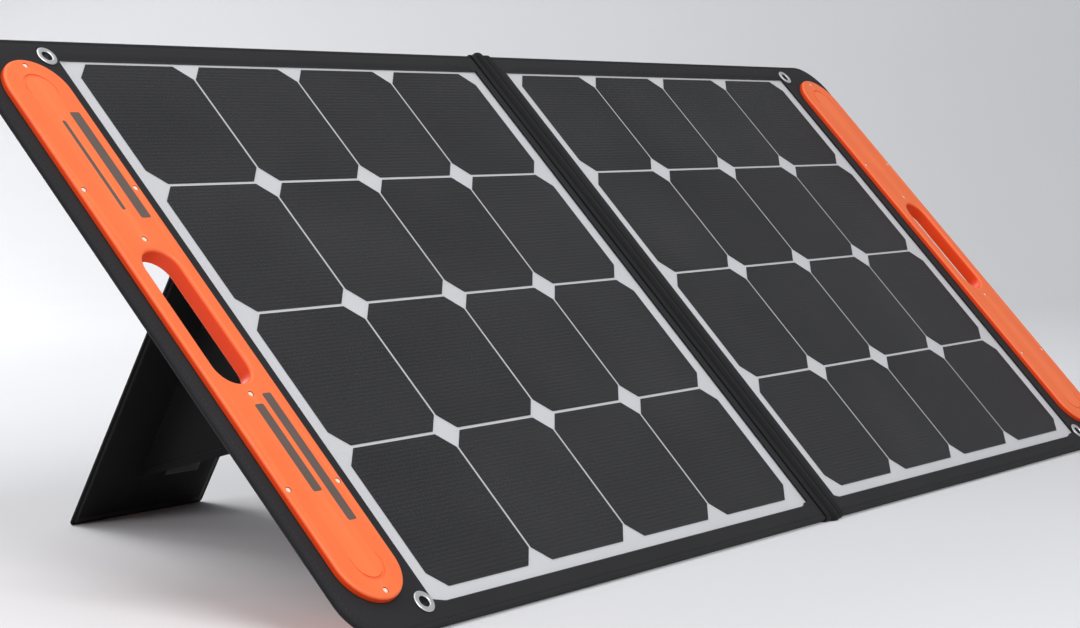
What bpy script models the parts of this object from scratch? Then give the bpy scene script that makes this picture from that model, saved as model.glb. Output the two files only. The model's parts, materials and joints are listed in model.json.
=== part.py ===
"""Two-panel folding solar panel for camping, standing open on its two fabric legs.

World frame: metres, +Z up, +X to the right seen from the lit side, +Y towards the back.
Each half is drawn flat in the panel's own frame: x from the fold, y up the slope from the
bottom edge, z out of the lit face. The panel empty then leans the whole sheet back.
"""

import math

import bmesh
import bpy
from mathutils import Vector

MM = 0.001

# ---- driving dimensions, in metres and degrees ----
LEAN = math.radians(46.5)            # slope of the panel above the ground
LEG_SLOPE = math.radians(61.0)       # slope of the leg above the ground
CORNER_RADIUS = 35 * MM

CELL_SIZE = 118.5 * MM
CELL_SPACE = 2.5 * MM                # white line between two cells
CELL_CORNER = 13.5 * MM              # straight cut across a cell's corner
CELLS_ACROSS = 4
WINDOW_FOLD_X = 25 * MM              # fold to the white frame
WINDOW_LOW_Y = 18 * MM
TOP_BORDER = 18.7 * MM               # fabric above the white frame
HANDLE_BORDER = 88 * MM              # white frame to the panel's outer edge
MARGIN_FOLD = 10.5 * MM              # white frame beside the cells
MARGIN_OUTER = 11 * MM
MARGIN_TOP = 3.2 * MM
MARGIN_BOTTOM = 8.6 * MM
LAMINATE_LAP = 4 * MM                # laminate tucked under the fabric frame
SOLDER_TAB = 22 * MM                 # width of the tab that joins two cells

GAP = 0.3 * MM                       # clearance between touching pieces
FABRIC = 0.6 * MM
FILM = 0.4 * MM
CELL = 0.3 * MM
SHEET = 0.4 * MM
BOARD = 1.5 * MM
BOARD_INSET = 8 * MM                 # panel edge to the board
HEM_WIDTH = 6 * MM
SPINE_HALF = 9 * MM                  # half of the fabric strip between the halves

HANDLE_WIDTH = 59.5 * MM
HANDLE_EDGE_X = 12.8 * MM            # fabric beyond the handle
HANDLE_END_Y = 25 * MM               # fabric past each end of the handle
HANDLE_RISE = 5.4 * MM               # above the lit fabric
HANDLE_EDGE = 2.2 * MM               # round of its outer edge
HANDLE_BACK = 2.1 * MM
GRIP_WIDTH = 33 * MM
GRIP_LENGTH = 118 * MM
GRIP_RIM = 2.8 * MM                  # soft round of the grip's mouth
COLLAR = 2 * MM                      # wall that lines the grip through the panel
CORE_INSET = 2.5 * MM
PIN_RADIUS = 2 * MM
PIN_SUNK = 0.4 * MM
PIN_SIDE = 25 * MM                   # pins either side of the centre line
PIN_FROM_END = 6.5 * MM              # handle's end to its end pins
PIN_PAIR_UP = 115.6 * MM             # from the handle's middle
PIN_PAIR_DOWN = 146.9 * MM
PIN_FROM_GRIP = 10 * MM              # grip's end to the pins beside it
MAGNET_RADIUS = 13 * MM

GROMMET_INSET_X = 76 * MM            # from the outer edge
GROMMET_INSET = 17 * MM              # from the top edge
GROMMET_RISE_Y = 19 * MM             # from the bottom edge
GROMMET_RADIUS = 8.5 * MM
GROMMET_HOLE = 4.25 * MM
GROMMET_WALL = 0.95 * MM
GROMMET_FLANGE = 0.9 * MM

LEG_X = 302 * MM
LEG_WIDTH = 156 * MM
LEG_BOARD = 2.4 * MM
LEG_HINGE_INSET = 75 * MM            # panel's top edge to the hinge line
LEG_HINGE_DROP = 4 * MM              # hinge line behind the panel's back
LEG_TOP = 3 * MM                     # hinge line to the leg's stiff top end
WEB_X = 319 * MM
WEB_ON_LEG = 333 * MM
WEB_ON_PANEL = 274 * MM
WEB_NECK = 14 * MM                   # web's narrow end, from the hinge line
HINGE_TAPE = 20 * MM
PATCH_X = 270 * MM
PATCH_Y = 132 * MM
PATCH_WIDTH = 40 * MM
PATCH_HEIGHT = 25 * MM
HOOK = 0.5 * MM
LOOP = 0.7 * MM

LEAD_WIDTH = 18 * MM                 # flat lead that crosses the fold
LEAD_THICK = 1 * MM
LEAD_REACH = 11 * MM
LEAD_Y = 60 * MM

POUCH_X = 117 * MM
POUCH_Y = 170 * MM
POUCH_WIDTH = 164 * MM
POUCH_HEIGHT = 126 * MM
POUCH_DEPTH = 20 * MM
POUCH_CORNER = 12 * MM
POUCH_FLANGE = 8 * MM
ZIP_LENGTH = 136 * MM
ZIP_SLOT = 6 * MM
ZIP_FROM_TOP = 22 * MM
ZIP_CHAIN = 4.4 * MM
ZIP_TAPE = 16 * MM
SLIDER_LENGTH = 9 * MM
SLIDER_WIDTH = 9 * MM
SLIDER_PLATE = 1 * MM
SLIDER_POST = 3 * MM
PULL_WIDTH = 5.4 * MM
PULL_LENGTH = 26 * MM
PULL_THICK = 1.4 * MM
PULL_PIN = 0.7 * MM
LUG = 1.2 * MM
LUG_HEIGHT = 3.4 * MM

BOX_X = 96 * MM
BOX_Y = 158 * MM
BOX_WIDTH = 92 * MM
BOX_HEIGHT = 56 * MM
BOX_DEPTH = 11.4 * MM
BOX_WALL = 1.6 * MM
BOX_CORNER = 5 * MM
CIRCUIT = 1.2 * MM
CIRCUIT_STANDOFF = 0.6 * MM
USB_A = (14.5 * MM, 13 * MM, 6.4 * MM)      # width, depth, height of its shell
USB_C = (9.4 * MM, 7.4 * MM, 3.4 * MM)
USB_SHELL = 0.5 * MM
USB_A_X = 14 * MM                    # from the box's middle
USB_C_X = -12 * MM
GLAND_RADIUS = 4.2 * MM
GLAND_BORE = 2.6 * MM
GLAND_LENGTH = 12 * MM
GLAND_COLLAR = 1.2 * MM

ROUND = 16                           # sides of a small round
ARC = 8                              # steps in a half turn of a large round

# ---- the layers of a half, worked down from the lit face at z = 0 ----
FILM_TOP = -FABRIC - GAP
CELL_TOP = FILM_TOP - FILM - GAP
SHEET_TOP = CELL_TOP - CELL - GAP
BOARD_TOP = SHEET_TOP - SHEET - GAP
BACK_TOP = BOARD_TOP - BOARD - GAP
BACK = BACK_TOP - FABRIC             # the panel's back face
HANDLE_BOTTOM = BACK - GAP - HANDLE_BACK
FOLD_Z = HANDLE_RISE + GAP           # the fold's axis: the two handles meet there

# ---- sizes that follow from the driving ones ----
CELL_PITCH = CELL_SIZE + CELL_SPACE
WINDOW_WIDE = MARGIN_FOLD + (CELLS_ACROSS - 1) * CELL_PITCH + CELL_SIZE + MARGIN_OUTER
WINDOW_TALL = MARGIN_BOTTOM + (CELLS_ACROSS - 1) * CELL_PITCH + CELL_SIZE + MARGIN_TOP
WINDOW_OUT_X = WINDOW_FOLD_X + WINDOW_WIDE
WINDOW_TOP_Y = WINDOW_LOW_Y + WINDOW_TALL
BOARD_OUT_X = WINDOW_OUT_X + LAMINATE_LAP
PANEL_HEIGHT = WINDOW_TOP_Y + TOP_BORDER
EDGE_X = WINDOW_OUT_X + HANDLE_BORDER
HANDLE_X = EDGE_X - HANDLE_EDGE_X - HANDLE_WIDTH / 2
HANDLE_Y = PANEL_HEIGHT / 2
HANDLE_LENGTH = PANEL_HEIGHT - 2 * HANDLE_END_Y
PIN_ENDS = HANDLE_LENGTH / 2 - PIN_FROM_END
PIN_GRIP = GRIP_LENGTH / 2 + PIN_FROM_GRIP
MAGNET_Y = (HANDLE_LENGTH - HANDLE_WIDTH) / 2
GROMMET_X = EDGE_X - GROMMET_INSET_X
GROMMETS = ((GROMMET_X, PANEL_HEIGHT - GROMMET_INSET), (GROMMET_X, GROMMET_RISE_Y))
LEG_HINGE_Y = PANEL_HEIGHT - LEG_HINGE_INSET
LEG_HALF = LEG_BOARD / 2 + GAP + FABRIC
LEG_HINGE_Z = BACK - LEG_HINGE_DROP
OPEN = math.pi - LEAN - LEG_SLOPE    # turn of the leg away from the panel's back
PINS = (
    (0, PIN_ENDS), (-PIN_SIDE, PIN_PAIR_UP), (PIN_SIDE, PIN_PAIR_UP), (0, PIN_GRIP),
    (0, -PIN_GRIP), (-PIN_SIDE, -PIN_PAIR_DOWN), (PIN_SIDE, -PIN_PAIR_DOWN), (0, -PIN_ENDS),
)
SIDES = {"left": -1, "right": 1}


# ---- outlines: lists of two-number points ----
def arc(cx, cy, radius, start, end, steps):
    """Points on a circle from one angle to another, both ends included."""
    turn = (end - start) / steps
    angles = [start + turn * k for k in range(steps + 1)]
    return [(cx + radius * math.cos(a), cy + radius * math.sin(a)) for a in angles]


def circle(cx, cy, radius, sides=ROUND):
    return arc(cx, cy, radius, 0, 2 * math.pi, sides)[:-1]


def rectangle(cx, cy, width, height, radius=0.0, steps=4):
    """A rectangle about a middle point, with its four corners rounded alike."""
    return rounded(
        cx - width / 2, cx + width / 2, cy - height / 2, cy + height / 2, [radius] * 4, steps
    )


def rounded(x0, x1, y0, y1, radii, steps=4):
    """A rectangle between limits; radii run from its low left corner, anticlockwise."""
    middles = ((x0, y0, 1, 1), (x1, y0, -1, 1), (x1, y1, -1, -1), (x0, y1, 1, -1))
    points = []
    for k, (x, y, sx, sy) in enumerate(middles):
        r = radii[k]
        if r == 0:
            points.append((x, y))
            continue
        start = math.pi + k * math.pi / 2
        points += arc(x + sx * r, y + sy * r, r, start, start + math.pi / 2, steps)
    return points


def stadium(cx, cy, width, length, steps=ARC):
    """A slot shape whose long way is y."""
    r = width / 2
    run = length / 2 - r
    top = arc(cx, cy + run, r, 0, math.pi, steps)
    return top + arc(cx, cy - run, r, math.pi, 2 * math.pi, steps)


def flip(points, side):
    """The same outline on the chosen side of the fold."""
    return [(side * x, y) for x, y in points]


# ---- materials ----
def finish(name, colour, roughness, metallic=0.0, alpha=1.0):
    material = bpy.data.materials.new(name)
    material.use_nodes = True
    shader = material.node_tree.nodes["Principled BSDF"]
    shader.inputs["Base Color"].default_value = (*colour, 1.0)
    shader.inputs["Roughness"].default_value = roughness
    shader.inputs["Metallic"].default_value = metallic
    shader.inputs["Alpha"].default_value = alpha
    return material


FINISHES = {
    "fabric": ((0.030, 0.030, 0.033), 0.85),
    "film": ((0.75, 0.76, 0.78), 0.25, 0.0, 0.2),
    "cell": ((0.012, 0.013, 0.018), 0.35),
    "backsheet": ((0.62, 0.62, 0.65), 0.5),
    "board": ((0.05, 0.05, 0.05), 0.6),
    "handle": ((0.84, 0.19, 0.05), 0.45),
    "core": ((0.80, 0.74, 0.62), 0.5),
    "magnet": ((0.45, 0.45, 0.47), 0.3, 1.0),
    "eyelet": ((0.33, 0.33, 0.34), 0.35, 1.0),
    "hook_tape": ((0.02, 0.02, 0.02), 0.95),
    "lead": ((0.03, 0.03, 0.03), 0.6),
    "box": ((0.025, 0.025, 0.027), 0.5),
    "circuit": ((0.02, 0.16, 0.07), 0.5),
    "plated": ((0.7, 0.7, 0.72), 0.25, 1.0),
    "zip": ((0.02, 0.02, 0.022), 0.6),
}
MATERIALS = {}


# ---- solids ----
def add(name, mesh, kind, parent, offset=(0, 0, 0), smooth=False):
    """Give a bmesh a name, a finish and a parent, and put it in the scene."""
    bmesh.ops.recalc_face_normals(mesh, faces=mesh.faces)
    data = bpy.data.meshes.new(name)
    mesh.to_mesh(data)
    mesh.free()
    if smooth:
        data.shade_smooth()
        data.set_sharp_from_angle(angle=math.radians(35))
    if kind not in MATERIALS:
        MATERIALS[kind] = finish(kind, *FINISHES[kind])
    data.materials.append(MATERIALS[kind])
    piece = bpy.data.objects.new(name, data)
    bpy.context.scene.collection.objects.link(piece)
    piece.parent = parent
    piece.location = offset
    return piece


AXES = {
    "x": lambda u, v, w: (w, u, v),      # outline in y and z, thickness along x
    "y": lambda u, v, w: (u, w, v),      # outline in x and z, thickness along y
    "z": lambda u, v, w: (u, v, w),      # outline in x and y, thickness along z
}


def prism(name, outline, low, high, kind, parent, holes=(), along="z", offset=(0, 0, 0)):
    """A flat outline with holes, made solid between two levels."""
    mesh = bmesh.new()
    edges = []
    for loop in (outline, *holes):
        ring = [mesh.verts.new(AXES[along](u, v, low)) for u, v in loop]
        edges += [mesh.edges.new((ring[k - 1], ring[k])) for k in range(len(ring))]
    bmesh.ops.triangle_fill(mesh, use_beauty=True, edges=edges)
    raised = bmesh.ops.extrude_face_region(mesh, geom=mesh.faces[:])
    lifted = [v for v in raised["geom"] if isinstance(v, bmesh.types.BMVert)]
    step = Vector(AXES[along](0, 0, high - low))
    bmesh.ops.translate(mesh, verts=lifted, vec=step)
    return add(name, mesh, kind, parent, offset)


def loft(name, rings, kind, parent, closed=True, offset=(0, 0, 0)):
    """Skin equal rings of points; a closed loft returns to its first ring."""
    mesh = bmesh.new()
    loops = [[mesh.verts.new(p) for p in ring] for ring in rings]
    pairs = list(zip(loops, loops[1:]))
    if closed:
        pairs.append((loops[-1], loops[0]))
    for a, b in pairs:
        for k in range(len(a)):
            mesh.faces.new((a[k - 1], a[k], b[k], b[k - 1]))
    if not closed:
        mesh.faces.new(loops[0])
        mesh.faces.new(loops[-1])
    return add(name, mesh, kind, parent, offset, smooth=True)


def level(points, z):
    return [(x, y, z) for x, y in points]


def combine(piece, other, operation):
    """Join another object to a piece, or cut it out, and leave it as a guide."""
    change = piece.modifiers.new(other.name, "BOOLEAN")
    change.operation = operation
    change.object = other
    change.solver = "EXACT"
    other.hide_render = True
    other.display_type = "WIRE"


def studs(name, side, radius, low, high, parent):
    """The eight handle pins, or their holes, as one guide."""
    mesh = bmesh.new()
    for dx, dy in PINS:
        spots = flip(circle(HANDLE_X + dx, HANDLE_Y + dy, radius, 12), side)
        rings = [[mesh.verts.new((x, y, z)) for x, y in spots] for z in (low, high)]
        for k in range(len(spots)):
            mesh.faces.new((rings[0][k - 1], rings[0][k], rings[1][k], rings[1][k - 1]))
        mesh.faces.new(rings[0])
        mesh.faces.new(rings[1])
    return add(name, mesh, "core", parent)


def empty(name, parent, location, turn=0.0):
    """A joint's frame."""
    frame = bpy.data.objects.new(name, None)
    bpy.context.scene.collection.objects.link(frame)
    frame.parent = parent
    frame.location = location
    frame.rotation_euler = (turn, 0.0, 0.0)
    return frame


# ---- the laminate: film, cell strings, white backsheet and board ----
def cell_string_outline(x, y0):
    """One column of cells with the tabs that join them, as a single outline."""
    half = CELL_SIZE / 2
    flat = half - CELL_CORNER
    tab = SOLDER_TAB / 2
    right = []
    for row in range(CELLS_ACROSS):
        cy = y0 + row * CELL_PITCH
        if row:
            right.append((x + tab, cy - half))
        right += [(x + flat, cy - half), (x + half, cy - flat)]
        right += [(x + half, cy + flat), (x + flat, cy + half)]
        if row < CELLS_ACROSS - 1:
            right.append((x + tab, cy + half))
    left = [(2 * x - px, py) for px, py in reversed(right)]
    return right + left


def make_laminate(label, side, parent):
    lap = LAMINATE_LAP
    limits = (WINDOW_FOLD_X - lap, WINDOW_OUT_X + lap, WINDOW_LOW_Y - lap, WINDOW_TOP_Y + lap)
    sheet = flip(rounded(*limits, [3 * MM] * 4), side)
    prism(f"{label}_front_film", sheet, FILM_TOP - FILM, FILM_TOP, "film", parent)
    prism(f"{label}_backsheet", sheet, SHEET_TOP - SHEET, SHEET_TOP, "backsheet", parent)
    y0 = WINDOW_LOW_Y + MARGIN_BOTTOM + CELL_SIZE / 2
    for column in range(CELLS_ACROSS):
        x = WINDOW_FOLD_X + MARGIN_FOLD + CELL_SIZE / 2 + column * CELL_PITCH
        outline = flip(cell_string_outline(x, y0), side)
        name = f"{label}_cell_string_{column + 1}"
        prism(name, outline, CELL_TOP - CELL, CELL_TOP, "cell", parent)
    limits = (SPINE_HALF + 3 * MM, BOARD_OUT_X, BOARD_INSET, PANEL_HEIGHT - BOARD_INSET)
    board = flip(rounded(*limits, [4 * MM] * 4), side)
    prism(f"{label}_stiffener_board", board, BOARD_TOP - BOARD, BOARD_TOP, "board", parent)


# ---- the fabric covers and the hem between their edges ----
def make_covers(label, side, parent):
    outline = rounded(
        SPINE_HALF, EDGE_X, 0, PANEL_HEIGHT, [0, CORNER_RADIUS, CORNER_RADIUS, 0], 6
    )
    wide = GRIP_WIDTH + 2 * (COLLAR + GAP)
    grip = stadium(HANDLE_X, HANDLE_Y, wide, GRIP_LENGTH + 2 * (COLLAR + GAP))
    eyes = [circle(x, y, GROMMET_HOLE + GROMMET_WALL + GAP) for x, y in GROMMETS]
    window = rounded(
        WINDOW_FOLD_X, WINDOW_OUT_X, WINDOW_LOW_Y, WINDOW_TOP_Y, [2 * MM] * 4, 2
    )
    pins = [circle(HANDLE_X + x, HANDLE_Y + y, PIN_RADIUS + GAP, 12) for x, y in PINS]
    front_holes = [flip(h, side) for h in (window, grip, *eyes, *pins)]
    back_holes = [flip(h, side) for h in (grip, *eyes)]
    sheet = flip(outline, side)
    prism(f"{label}_cover_front", sheet, -FABRIC, 0, "fabric", parent, front_holes)
    prism(f"{label}_cover_back", sheet, BACK, BACK_TOP, "fabric", parent, back_holes)
    inner_radius = CORNER_RADIUS - HEM_WIDTH
    inner_top = PANEL_HEIGHT - HEM_WIDTH
    inside = rounded(
        SPINE_HALF, EDGE_X - HEM_WIDTH, HEM_WIDTH, inner_top, [0, inner_radius, inner_radius, 0], 6
    )
    hem = outline + [inside[-1]] + inside[:-1][::-1]
    prism(f"{label}_edge_hem", flip(hem, side), BACK_TOP + GAP, -FABRIC - GAP, "fabric", parent)


# ---- the grip at the outer edge ----
def handle_ring(inset, z, side):
    outline = stadium(HANDLE_X, HANDLE_Y, HANDLE_WIDTH - 2 * inset, HANDLE_LENGTH - 2 * inset)
    return level(flip(outline, side), z)


def grip_ring(grow, z, side):
    outline = stadium(HANDLE_X, HANDLE_Y, GRIP_WIDTH + 2 * grow, GRIP_LENGTH + 2 * grow)
    return level(flip(outline, side), z)


def quarter(steps=3):
    """Sine and cosine pairs along a quarter turn."""
    angles = [math.pi / 2 * k / steps for k in range(steps + 1)]
    return [(math.sin(a), math.cos(a)) for a in angles]


def make_handle(label, side, parent):
    edge, rim = HANDLE_EDGE, GRIP_RIM
    rings = [handle_ring(0, GAP, side)]
    for s, c in quarter():
        rings.append(handle_ring(edge * (1 - c), HANDLE_RISE - edge * (1 - s), side))
    for s, c in quarter():
        rings.append(grip_ring(rim * (1 - s), HANDLE_RISE - rim * (1 - c), side))
    rings.append(grip_ring(0, HANDLE_BOTTOM, side))
    rings.append(grip_ring(COLLAR, HANDLE_BOTTOM, side))
    rings.append(grip_ring(COLLAR, GAP, side))
    front = loft(f"{label}_handle_front", rings, "handle", parent)
    top = HANDLE_RISE + 5 * MM
    holes = studs(f"{label}_pin_holes", side, PIN_RADIUS + GAP, -5 * MM, top, parent)
    combine(front, holes, "DIFFERENCE")

    back_top = BACK - GAP
    edge = HANDLE_BACK * 0.7
    rings = [handle_ring(0, back_top, side)]
    for s, c in quarter():
        rings.append(handle_ring(edge * (1 - c), HANDLE_BOTTOM + edge * (1 - s), side))
    rings.append(grip_ring(COLLAR + GAP, HANDLE_BOTTOM, side))
    rings.append(grip_ring(COLLAR + GAP, back_top, side))
    loft(f"{label}_handle_back", rings, "handle", parent)

    low, high = BACK_TOP + GAP, -FABRIC - GAP
    plate = stadium(
        HANDLE_X, HANDLE_Y, HANDLE_WIDTH - 2 * CORE_INSET, HANDLE_LENGTH - 2 * CORE_INSET
    )
    wide = GRIP_WIDTH + 2 * (COLLAR + GAP)
    grip = stadium(HANDLE_X, HANDLE_Y, wide, GRIP_LENGTH + 2 * (COLLAR + GAP))
    spots = [(HANDLE_X, HANDLE_Y + MAGNET_Y), (HANDLE_X, HANDLE_Y - MAGNET_Y)]
    wells = [circle(x, y, MAGNET_RADIUS + GAP, 24) for x, y in spots]
    holes = [flip(h, side) for h in (grip, *wells)]
    core = prism(f"{label}_handle_core", flip(plate, side), low, high, "core", parent, holes)
    pin_top = HANDLE_RISE - PIN_SUNK
    pins = studs(f"{label}_pins", side, PIN_RADIUS, (low + high) / 2, pin_top, parent)
    combine(core, pins, "UNION")
    for place, (x, y) in zip(("upper", "lower"), spots):
        disc = flip(circle(x, y, MAGNET_RADIUS, 24), side)
        prism(f"{label}_magnet_{place}", disc, low, high, "magnet", parent)


def make_grommets(label, side, parent):
    """Two-flanged metal eyelets, turned round their own holes."""
    bevel = 0.4 * MM
    wall = GROMMET_HOLE + GROMMET_WALL
    front, back = GAP, BACK - GAP
    top, bottom = front + GROMMET_FLANGE, back - GROMMET_FLANGE
    profile = (
        (GROMMET_HOLE, bottom + bevel), (GROMMET_HOLE, top - bevel),
        (GROMMET_HOLE + bevel, top), (GROMMET_RADIUS - bevel, top),
        (GROMMET_RADIUS, top - bevel), (GROMMET_RADIUS, front), (wall, front),
        (wall, back), (GROMMET_RADIUS, back), (GROMMET_RADIUS, bottom + bevel),
        (GROMMET_RADIUS - bevel, bottom), (GROMMET_HOLE + bevel, bottom),
    )
    for place, (x, y) in zip(("upper", "lower"), GROMMETS):
        rings = [level(flip(circle(x, y, r), side), z) for r, z in profile]
        loft(f"{label}_grommet_{place}", rings, "eyelet", parent)


# ---- the folding leg, drawn in its own frame: y up from the hinge line ----
def foot_distance():
    """Hinge line to the middle of the rounded foot, so that the foot meets the ground."""
    hinge_height = LEG_HINGE_Y * math.sin(LEAN) + LEG_HINGE_Z * math.cos(LEAN)
    ground = BACK * math.cos(LEAN)
    return (hinge_height - ground - LEG_HALF) / math.sin(LEG_SLOPE)


def make_leg(label, side, parent, hinge):
    foot = foot_distance()
    middle = side * LEG_X
    low_x, high_x = middle - LEG_WIDTH / 2, middle + LEG_WIDTH / 2
    inner = LEG_HALF - FABRIC
    outer_arc = arc(-foot, 0, LEG_HALF, math.pi / 2, 3 * math.pi / 2, 6)
    inner_arc = arc(-foot, 0, inner, 3 * math.pi / 2, math.pi / 2, 6)
    fold = [(-LEG_TOP, LEG_HALF), *outer_arc, (-LEG_TOP, -LEG_HALF)]
    fold += [(-LEG_TOP, -inner), *inner_arc, (-LEG_TOP, inner)]
    prism(f"{label}_stand_cover", fold, low_x, high_x, "fabric", hinge, along="x")
    inset = 3 * MM
    top = LEG_TOP + 1 * MM
    board = rounded(-foot, -top, -LEG_BOARD / 2, LEG_BOARD / 2, [0] * 4)
    prism(
        f"{label}_stand_board", board, low_x + inset, high_x - inset, "board", hinge, along="x"
    )
    patch_x = side * PATCH_X
    patch_y = PATCH_Y - LEG_HINGE_Y
    hook = rectangle(patch_x, patch_y, PATCH_WIDTH, PATCH_HEIGHT, 3 * MM)
    face = LEG_HALF + GAP
    prism(f"{label}_hook_patch", hook, face, face + HOOK, "hook_tape", hinge)
    loop = rectangle(patch_x, PATCH_Y, PATCH_WIDTH, PATCH_HEIGHT, 3 * MM)
    back = BACK - GAP
    prism(f"{label}_loop_patch", loop, back - LOOP, back, "hook_tape", parent)
    tape_y = LEG_HINGE_Y + LEG_TOP + HINGE_TAPE / 2
    tape = rectangle(middle, tape_y, LEG_WIDTH, HINGE_TAPE, 1 * MM)
    prism(f"{label}_hinge_tape", tape, back - FABRIC, back, "fabric", parent)
    make_web(label, side, parent)


def make_web(label, side, parent):
    """The triangle of fabric that stops the leg at its open angle."""
    along = Vector((-math.cos(OPEN), -math.sin(OPEN)))
    inward = Vector((-math.sin(OPEN), math.cos(OPEN)))
    hinge = Vector((LEG_HINGE_Y, LEG_HINGE_Z)) + inward * (LEG_HALF + GAP)
    back = BACK - GAP
    outline = [
        (LEG_HINGE_Y - WEB_NECK, back),
        (LEG_HINGE_Y - WEB_ON_PANEL, back),
        tuple(hinge + along * WEB_ON_LEG),
        tuple(hinge + along * WEB_NECK),
    ]
    x = side * WEB_X
    prism(
        f"{label}_stand_web", outline, x - FABRIC / 2, x + FABRIC / 2, "fabric", parent, along="x"
    )


# ---- the strip and the flat lead that cross the fold ----
def make_fold(parent):
    strip = rounded(
        -SPINE_HALF + GAP, SPINE_HALF - GAP, 0, PANEL_HEIGHT, [0] * 4
    )
    prism("spine_front", strip, -FABRIC, 0, "fabric", parent)
    prism("spine_back", strip, BACK, BACK_TOP, "fabric", parent)
    lead = rectangle(0, LEAD_Y, 2 * LEAD_REACH, LEAD_WIDTH, 2 * MM)
    middle = (BACK_TOP - FABRIC) / 2
    low = middle - LEAD_THICK / 2
    prism("fold_lead", lead, low, low + LEAD_THICK, "lead", parent)


# ---- the cable pouch and its zip on the right half's back ----
def make_pouch(parent):
    base = BACK - GAP
    skin = FABRIC

    def ring(inset, z):
        wide, tall = POUCH_WIDTH - 2 * inset, POUCH_HEIGHT - 2 * inset
        return level(rectangle(POUCH_X, POUCH_Y, wide, tall, POUCH_CORNER - inset), z)

    slope = 4 * MM
    rings = [
        ring(slope + skin, base - POUCH_DEPTH + skin),
        ring(skin, base - POUCH_DEPTH + slope),
        ring(skin, base),
        ring(-POUCH_FLANGE, base),
        ring(-POUCH_FLANGE, base - skin),
        ring(0, base - skin),
        ring(0, base - POUCH_DEPTH + slope),
        ring(slope, base - POUCH_DEPTH),
    ]
    pouch = loft("cable_pouch", rings, "fabric", parent, closed=False)
    slot = rectangle(POUCH_X, zip_line(), ZIP_LENGTH, ZIP_SLOT, 1 * MM)
    face = base - POUCH_DEPTH
    cutter = prism("zip_slot", slot, face - 5 * MM, face + 5 * MM, "zip", parent)
    combine(pouch, cutter, "DIFFERENCE")


def zip_line():
    return POUCH_Y + POUCH_HEIGHT / 2 - ZIP_FROM_TOP


def make_zip(parent, slider_frame, pull_frame):
    face = BACK - GAP - POUCH_DEPTH
    inside = face + FABRIC + GAP
    y = zip_line()
    start = POUCH_X - ZIP_LENGTH / 2
    end = POUCH_X + ZIP_LENGTH / 2
    chain, tape = ZIP_CHAIN / 2, ZIP_TAPE / 2
    section = [
        (y - tape, inside), (y - chain, inside), (y - chain, face), (y + chain, face),
        (y + chain, inside), (y + tape, inside), (y + tape, inside + FABRIC),
        (y - tape, inside + FABRIC),
    ]
    stop = start + SLIDER_LENGTH + 2 * MM
    prism("zip_chain", section, stop, end - 1 * MM, "zip", parent, along="x")

    half, post = SLIDER_WIDTH / 2, SLIDER_POST / 2
    top, low = -GAP, FABRIC + GAP
    body = [
        (-half, top), (-post, top), (-post, low), (-half, low), (-half, low + SLIDER_PLATE),
        (half, low + SLIDER_PLATE), (half, low), (post, low), (post, top), (half, top),
        (half, top - SLIDER_PLATE), (-half, top - SLIDER_PLATE),
    ]
    reach = SLIDER_LENGTH / 2
    slider = prism("zip_slider", body, -reach, reach, "plated", slider_frame, along="x")
    root = top - SLIDER_PLATE / 2
    tip = top - SLIDER_PLATE - LUG_HEIGHT
    pin_z = tip + LUG_HEIGHT * 0.4
    lug = rounded(-2 * MM, 2 * MM, tip, root, [1 * MM, 1 * MM, 0, 0])
    eye = circle(0, pin_z, PULL_PIN + GAP, 10)
    inner = PULL_WIDTH / 2 + GAP
    for number, low_y in enumerate((-inner - LUG, inner)):
        guide = prism(
            f"slider_lug_{number}", lug, low_y, low_y + LUG, "plated", slider_frame, [eye], "y"
        )
        combine(slider, guide, "UNION")

    wide = PULL_WIDTH / 2
    thick = PULL_THICK / 2
    bar = rounded(-thick, thick, -PULL_LENGTH, 0, [thick * 0.9, thick * 0.9, 0, 0])
    pull = prism("zip_pull", bar, -wide, wide, "plated", pull_frame, along="y")
    pin = prism(
        "pull_pin", circle(0, 0, PULL_PIN, 10), -wide - GAP - LUG, wide + GAP + LUG,
        "plated", pull_frame, along="y",
    )
    combine(pull, pin, "UNION")


def pull_height():
    """Height of the pull's pin above the pouch's face, in the slider's frame."""
    return -GAP - SLIDER_PLATE - LUG_HEIGHT + LUG_HEIGHT * 0.4


# ---- the output box inside the pouch ----
def make_output_box(parent):
    floor = BACK - GAP - FABRIC - GAP
    rim = floor - BOX_DEPTH

    def ring(inset, z):
        wide, tall = BOX_WIDTH - 2 * inset, BOX_HEIGHT - 2 * inset
        return level(rectangle(BOX_X, BOX_Y, wide, tall, BOX_CORNER - inset), z)

    rings = [ring(BOX_WALL, floor - BOX_WALL), ring(BOX_WALL, rim), ring(0, rim), ring(0, floor)]
    base = loft("output_box_base", rings, "box", parent, closed=False)
    lid = rectangle(BOX_X, BOX_Y, BOX_WIDTH, BOX_HEIGHT, BOX_CORNER)
    prism("output_box_lid", lid, rim - GAP - BOX_WALL, rim - GAP, "box", parent)
    board_top = floor - BOX_WALL - CIRCUIT_STANDOFF
    reach = BOX_WALL + GLAND_COLLAR + 3 * GAP
    board = rectangle(BOX_X, BOX_Y, BOX_WIDTH - 2 * reach, BOX_HEIGHT - 2 * reach, 3 * MM)
    prism("output_board", board, board_top - CIRCUIT, board_top, "circuit", parent)
    wall_y = BOX_Y + BOX_HEIGHT / 2
    shelf = board_top - CIRCUIT - GAP
    sockets = (("usb_a_socket", USB_A, USB_A_X), ("usb_c_socket", USB_C, USB_C_X))
    for name, size, dx in sockets:
        make_socket(name, size, BOX_X + dx, wall_y, shelf, base, parent)
    make_gland(base, wall_y - BOX_HEIGHT, floor - BOX_DEPTH * 0.56, parent)


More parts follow.
